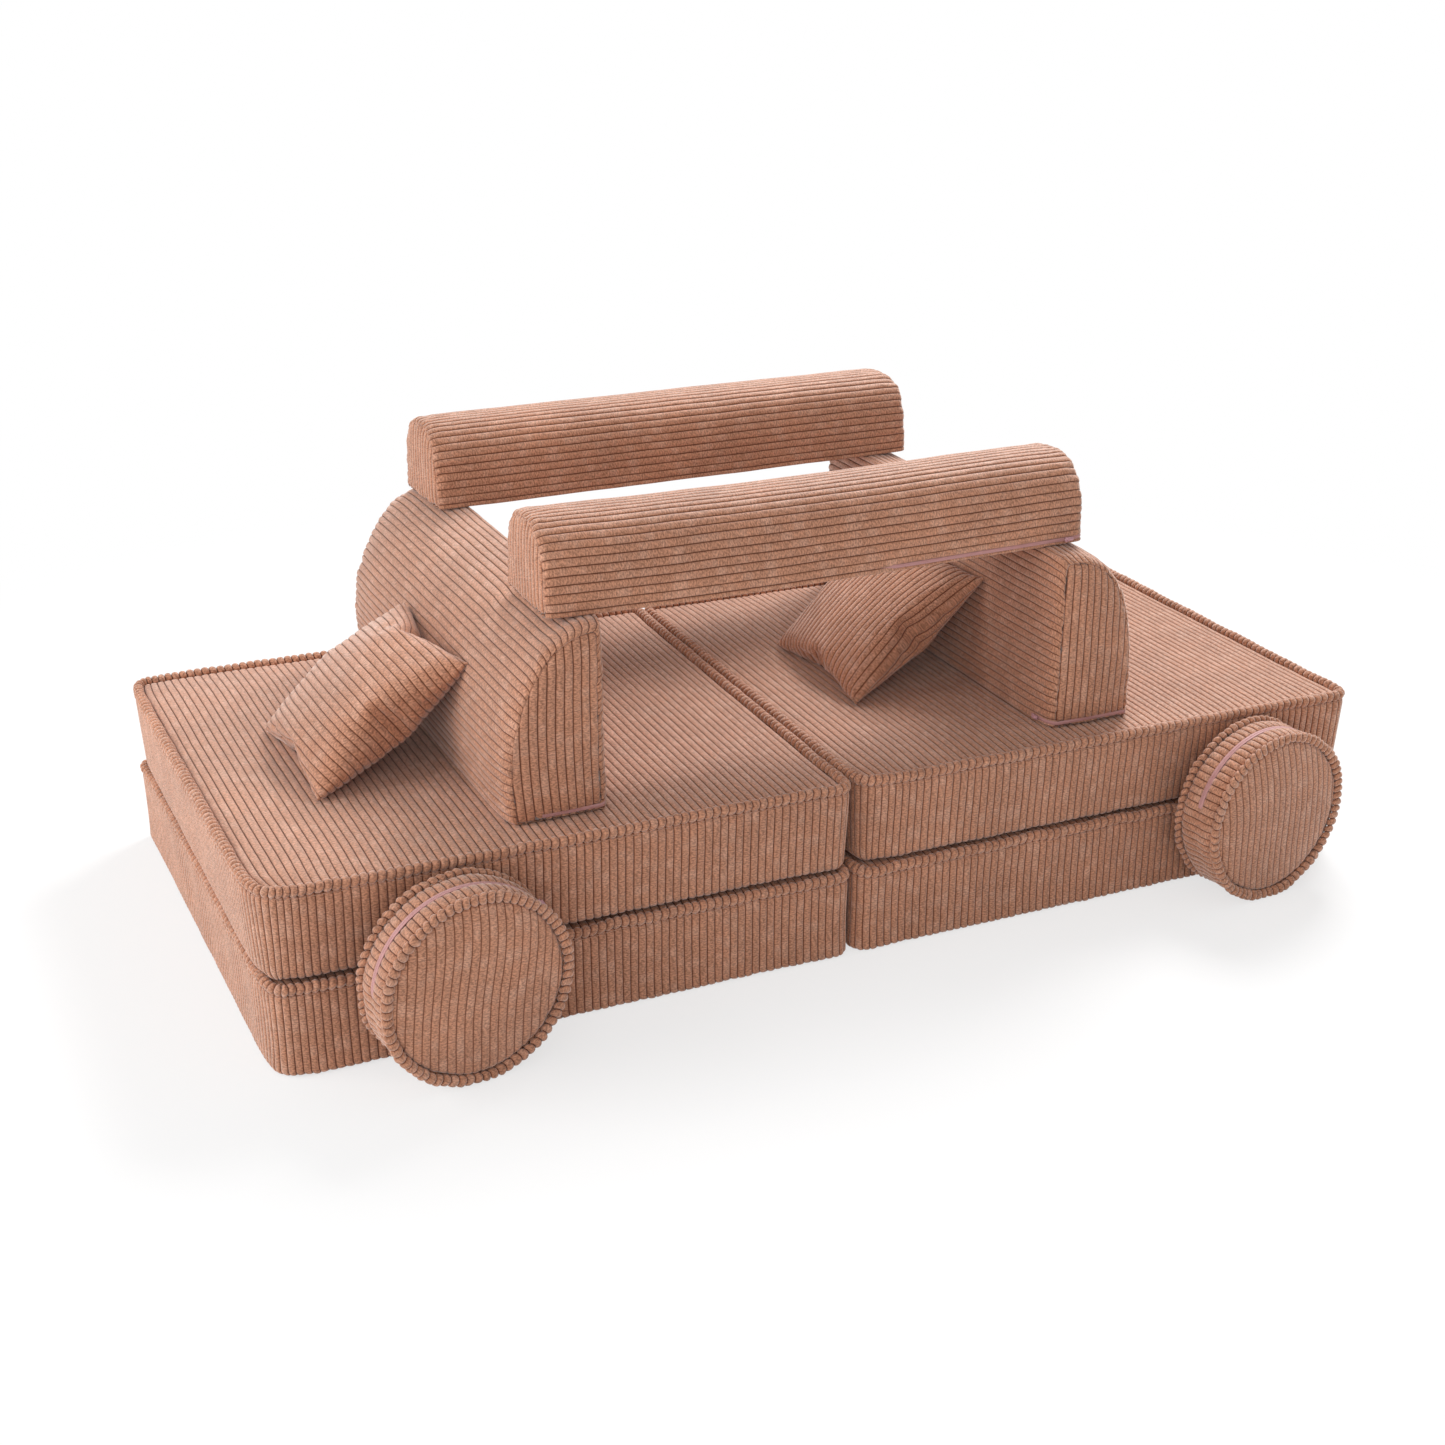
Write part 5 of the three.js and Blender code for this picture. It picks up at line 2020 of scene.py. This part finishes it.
@dataclass
class Studio:
    """Pale floor, soft lamps and the camera.

    Attributes:
        azimuth: Camera's angle from +Y towards +X, in degrees.
        elevation: Its angle down, in degrees.
        roll: Its turn about its own axis, in degrees.
        eye: Where it stands.
        focal_pixels: Its focal length in pixels of the photograph.
        principal: Where its axis meets the photograph.
        target: What the lamps face.
        sky: Strength of the room's light.
        floor_fade: Distances between which the floor turns white, and its whiteness at each.
        lamps: Name, place, side and power in watts of each lamp.
    """

    azimuth: float = 24.26
    elevation: float = 22.90
    roll: float = 0.25
    eye: Triple = (-1.0754, -2.3255, 1.2886)
    focal_pixels: float = 1927.0
    principal: Pair = (733.0, 725.0)
    target: Triple = (0.0, 0.0, 0.2)
    sky: float = 0.50
    floor_reach: float = 30.0
    floor_corners: int = 96
    floor_fade: Four = (0.9, 2.0, 0.68, 1.0)
    lamps: tuple[tuple[str, Triple, float, float], ...] = (
        ("key", (2.4, 2.1, 3.8), 1.8, 225),
        ("left", (-3.4, 0.2, 1.6), 2.2, 66),
        ("fill", (-2.2, -3.2, 1.8), 3.0, 32))

    def build(self) -> None:
        """Builds the floor, the lamps, the sky and the camera."""
        self.build_floor()
        for name, place, size, power in self.lamps:
            self.lamp(name, place, size, power)
        self.build_sky()
        self.build_camera()
        bpy.context.scene.view_settings.view_transform = "Standard"

    def build_camera(self) -> None:
        """Places the camera at the photograph's viewing angle."""
        az, el = math.radians(self.azimuth), math.radians(self.elevation)
        ahead = Vector((math.cos(el) * math.sin(az), math.cos(el) * math.cos(az), -math.sin(el)))
        right = ahead.cross(Vector((0, 0, 1))).normalized()
        up = right.cross(ahead)
        turn = Matrix((right, up, -ahead)).transposed()
        data = bpy.data.cameras.new("photo_camera")
        data.sensor_width = 36
        data.lens = self.focal_pixels * data.sensor_width / CAMERA_FRAME
        data.shift_x = -(self.principal[0] - CAMERA_FRAME / 2) / CAMERA_FRAME
        data.shift_y = (self.principal[1] - CAMERA_FRAME / 2) / CAMERA_FRAME
        camera = in_scene("photo_camera", data)
        turn = turn @ Matrix.Rotation(math.radians(self.roll), 3, "Z")
        camera.matrix_world = Matrix.Translation(self.eye) @ turn.to_4x4()
        bpy.context.scene.camera = camera

    def build_floor(self) -> None:
        """Lays a wide pale floor that fades to white away from the object."""
        mesh = bpy.data.meshes.new("studio_floor")
        rim = [(self.floor_reach * math.cos(a), self.floor_reach * math.sin(a), 0)
               for a in even_angles(self.floor_corners)]
        mesh.from_pydata(rim, [], [list(range(self.floor_corners))])
        floor = in_scene("studio_floor", mesh)
        material, nodes, shader = open_material("pale_floor")
        nodes.tree.nodes.remove(shader)
        diffuse = nodes.fill(nodes.node("ShaderNodeBsdfDiffuse"), {"Color": (0.90, 0.90, 0.90, 1)})
        glow = nodes.fill(nodes.node("ShaderNodeEmission"), {"Strength": 1.0})
        place = nodes.node("ShaderNodeTexCoord").outputs["Object"]
        length = nodes.node("ShaderNodeVectorMath", operation="LENGTH")
        far = nodes.ramp(nodes.fill(length, {0: place}).outputs["Value"], *self.floor_fade)
        share = nodes.math("MULTIPLY", far, self.seen(nodes))
        mix = nodes.fill(nodes.node("ShaderNodeMixShader"),
                         {0: share, 1: diffuse.outputs[0], 2: glow.outputs[0]})
        nodes.fill(nodes.tree.nodes["Material Output"], {"Surface": mix.outputs[0]})
        mesh.materials.append(material)

    def seen(self, nodes: NodeTree) -> bpy.types.NodeSocket:
        """Tells rays from the camera, straight or mirrored, from those that light the scene."""
        path = nodes.node("ShaderNodeLightPath").outputs
        return nodes.math("MAXIMUM", path["Is Camera Ray"], path["Is Glossy Ray"])

    def lamp(self, name: str, place: Triple, size: float, power: float) -> None:
        """Hangs a square soft lamp that faces the object.

        Args:
            name: Name of the lamp.
            place: Where it hangs.
            size: Length of its side.
            power: Its power in watts.
        """
        data = bpy.data.lights.new(name, "AREA")
        data.shape, data.size, data.energy = "SQUARE", size, power
        lamp = in_scene(name, data)
        lamp.location = place
        ahead = Vector(self.target) - Vector(place)
        lamp.rotation_euler = ahead.to_track_quat("-Z", "Y").to_euler()

    def build_sky(self) -> None:
        """Lights the room softly, and shows white to the camera."""
        world = bpy.data.worlds.new("studio")
        world.use_nodes = True
        bpy.context.scene.world = world
        nodes = NodeTree(world.node_tree)
        back = nodes.tree.nodes["Background"]
        white = nodes.node("ShaderNodeBackground")
        for shader, strength in ((back, self.sky), (white, 1.0)):
            nodes.fill(shader, {"Color": (1, 1, 1, 1), "Strength": strength})
        through = nodes.node("ShaderNodeLightPath").outputs["Is Transmission Ray"]
        seen = nodes.math("MAXIMUM", self.seen(nodes), through)
        mix = nodes.fill(nodes.node("ShaderNodeMixShader"),
                         {0: seen, 1: back.outputs[0], 2: white.outputs[0]})
        nodes.fill(nodes.tree.nodes["World Output"], {"Surface": mix.outputs[0]})


def modules() -> list[Mattress | Bolster | Wheel | Pillow]:
    """The twelve modules, where the frame has them.

    Returns:
        The modules in the order of building.
    """
    still = (0.0, 0.0)
    plan_y, stack_x, upper = 0.04764, 0.4005, 0.1253
    crossbar = 0.5009
    left, right = (-stack_x, plan_y), (stack_x, plan_y)
    low = dict(base=0.0, edge=0.008, rise=0.0012, slack=1.0)
    high = dict(base=upper, tuck=0.006, slack=0.35)
    support = dict(width=0.142, height=0.250)
    bar = dict(length=0.775, width=0.160, height=0.1155, roundness=2.8, flat_side=0,
               zip_start=0.116, base_round=0.006, top_round=0.016, edge=0.012,
               draw=(0.0030, 0.020), zip_shown=0.36)
    return [
        Mattress("left_lower", left, seed=11, blunt=(0.008, 0.0, 0.0, 0.0), **low,
                 creep=((0.027, -0.002), (0.0, -0.002), still, (-0.006, 0.0))),
        Mattress("left_upper", left, seed=12, blunt=(0.013, 0.0, 0.0, 0.008), **high,
                 creep=((0.020, 0.0), still, (0.0, 0.005), (-0.009, 0.001))),
        Mattress("right_lower", right, seed=13, **low,
                 creep=((0.002, -0.002), (0.0, -0.002), (0.008, 0.004), still)),
        Mattress("right_upper", right, seed=14, blunt=(0.009, 0.0, 0.0, 0.0), **high,
                 creep=(still, (0.006, 0.0), (0.015, 0.012), (0.0, 0.005))),
        Bolster("left_support", Placement((-0.390, 0.07964, SEAT), 1.3), flat_side=1, zip_side=1,
                zip_start=0.047, seed=21, roundness=2.45, bulge=0.008, length=0.700,
                press=(-0.229, 0.080, 0.004), **support),
        Bolster("right_support", Placement((0.395, 0.07714, SEAT)), flat_side=-1, zip_side=-1,
                zip_start=0.014, seed=22, roundness=2.9, bulge=0.003, length=0.705, **support),
        Bolster("near_bar", Placement((0.0065, -0.14936, crossbar), 90), zip_side=-1, seed=23,
                sag=0.0078, **bar),
        Bolster("far_bar", Placement((0.0115, 0.34864, crossbar), 91.9), zip_side=1, seed=24,
                **bar),
        Wheel("left_wheel", Placement((-0.546, -0.38669, 0.125), 9), 5.0, 31, zip_shown=178),
        Wheel("right_wheel", Placement((0.615, -0.38489, 0.125), 7), -7.0, 32, zip_shown=171),
        Pillow("left_pillow", Placement((-0.55161, 0.02764, 0.32927), 3, 35.5), False, 41),
        Pillow("right_pillow", Placement((0.22228, 0.03964, 0.33357), 0, 38), True, 42),
    ]


def main() -> None:
    """Builds the studio and every module."""
    logging.basicConfig(level=logging.INFO, format="%(message)s")
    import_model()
    Studio().build()
    wardrobe = Wardrobe()
    for module in modules():
        module.build(wardrobe)
        LOG.info("%s done", module.name)


if __name__ == "__main__":
    main()
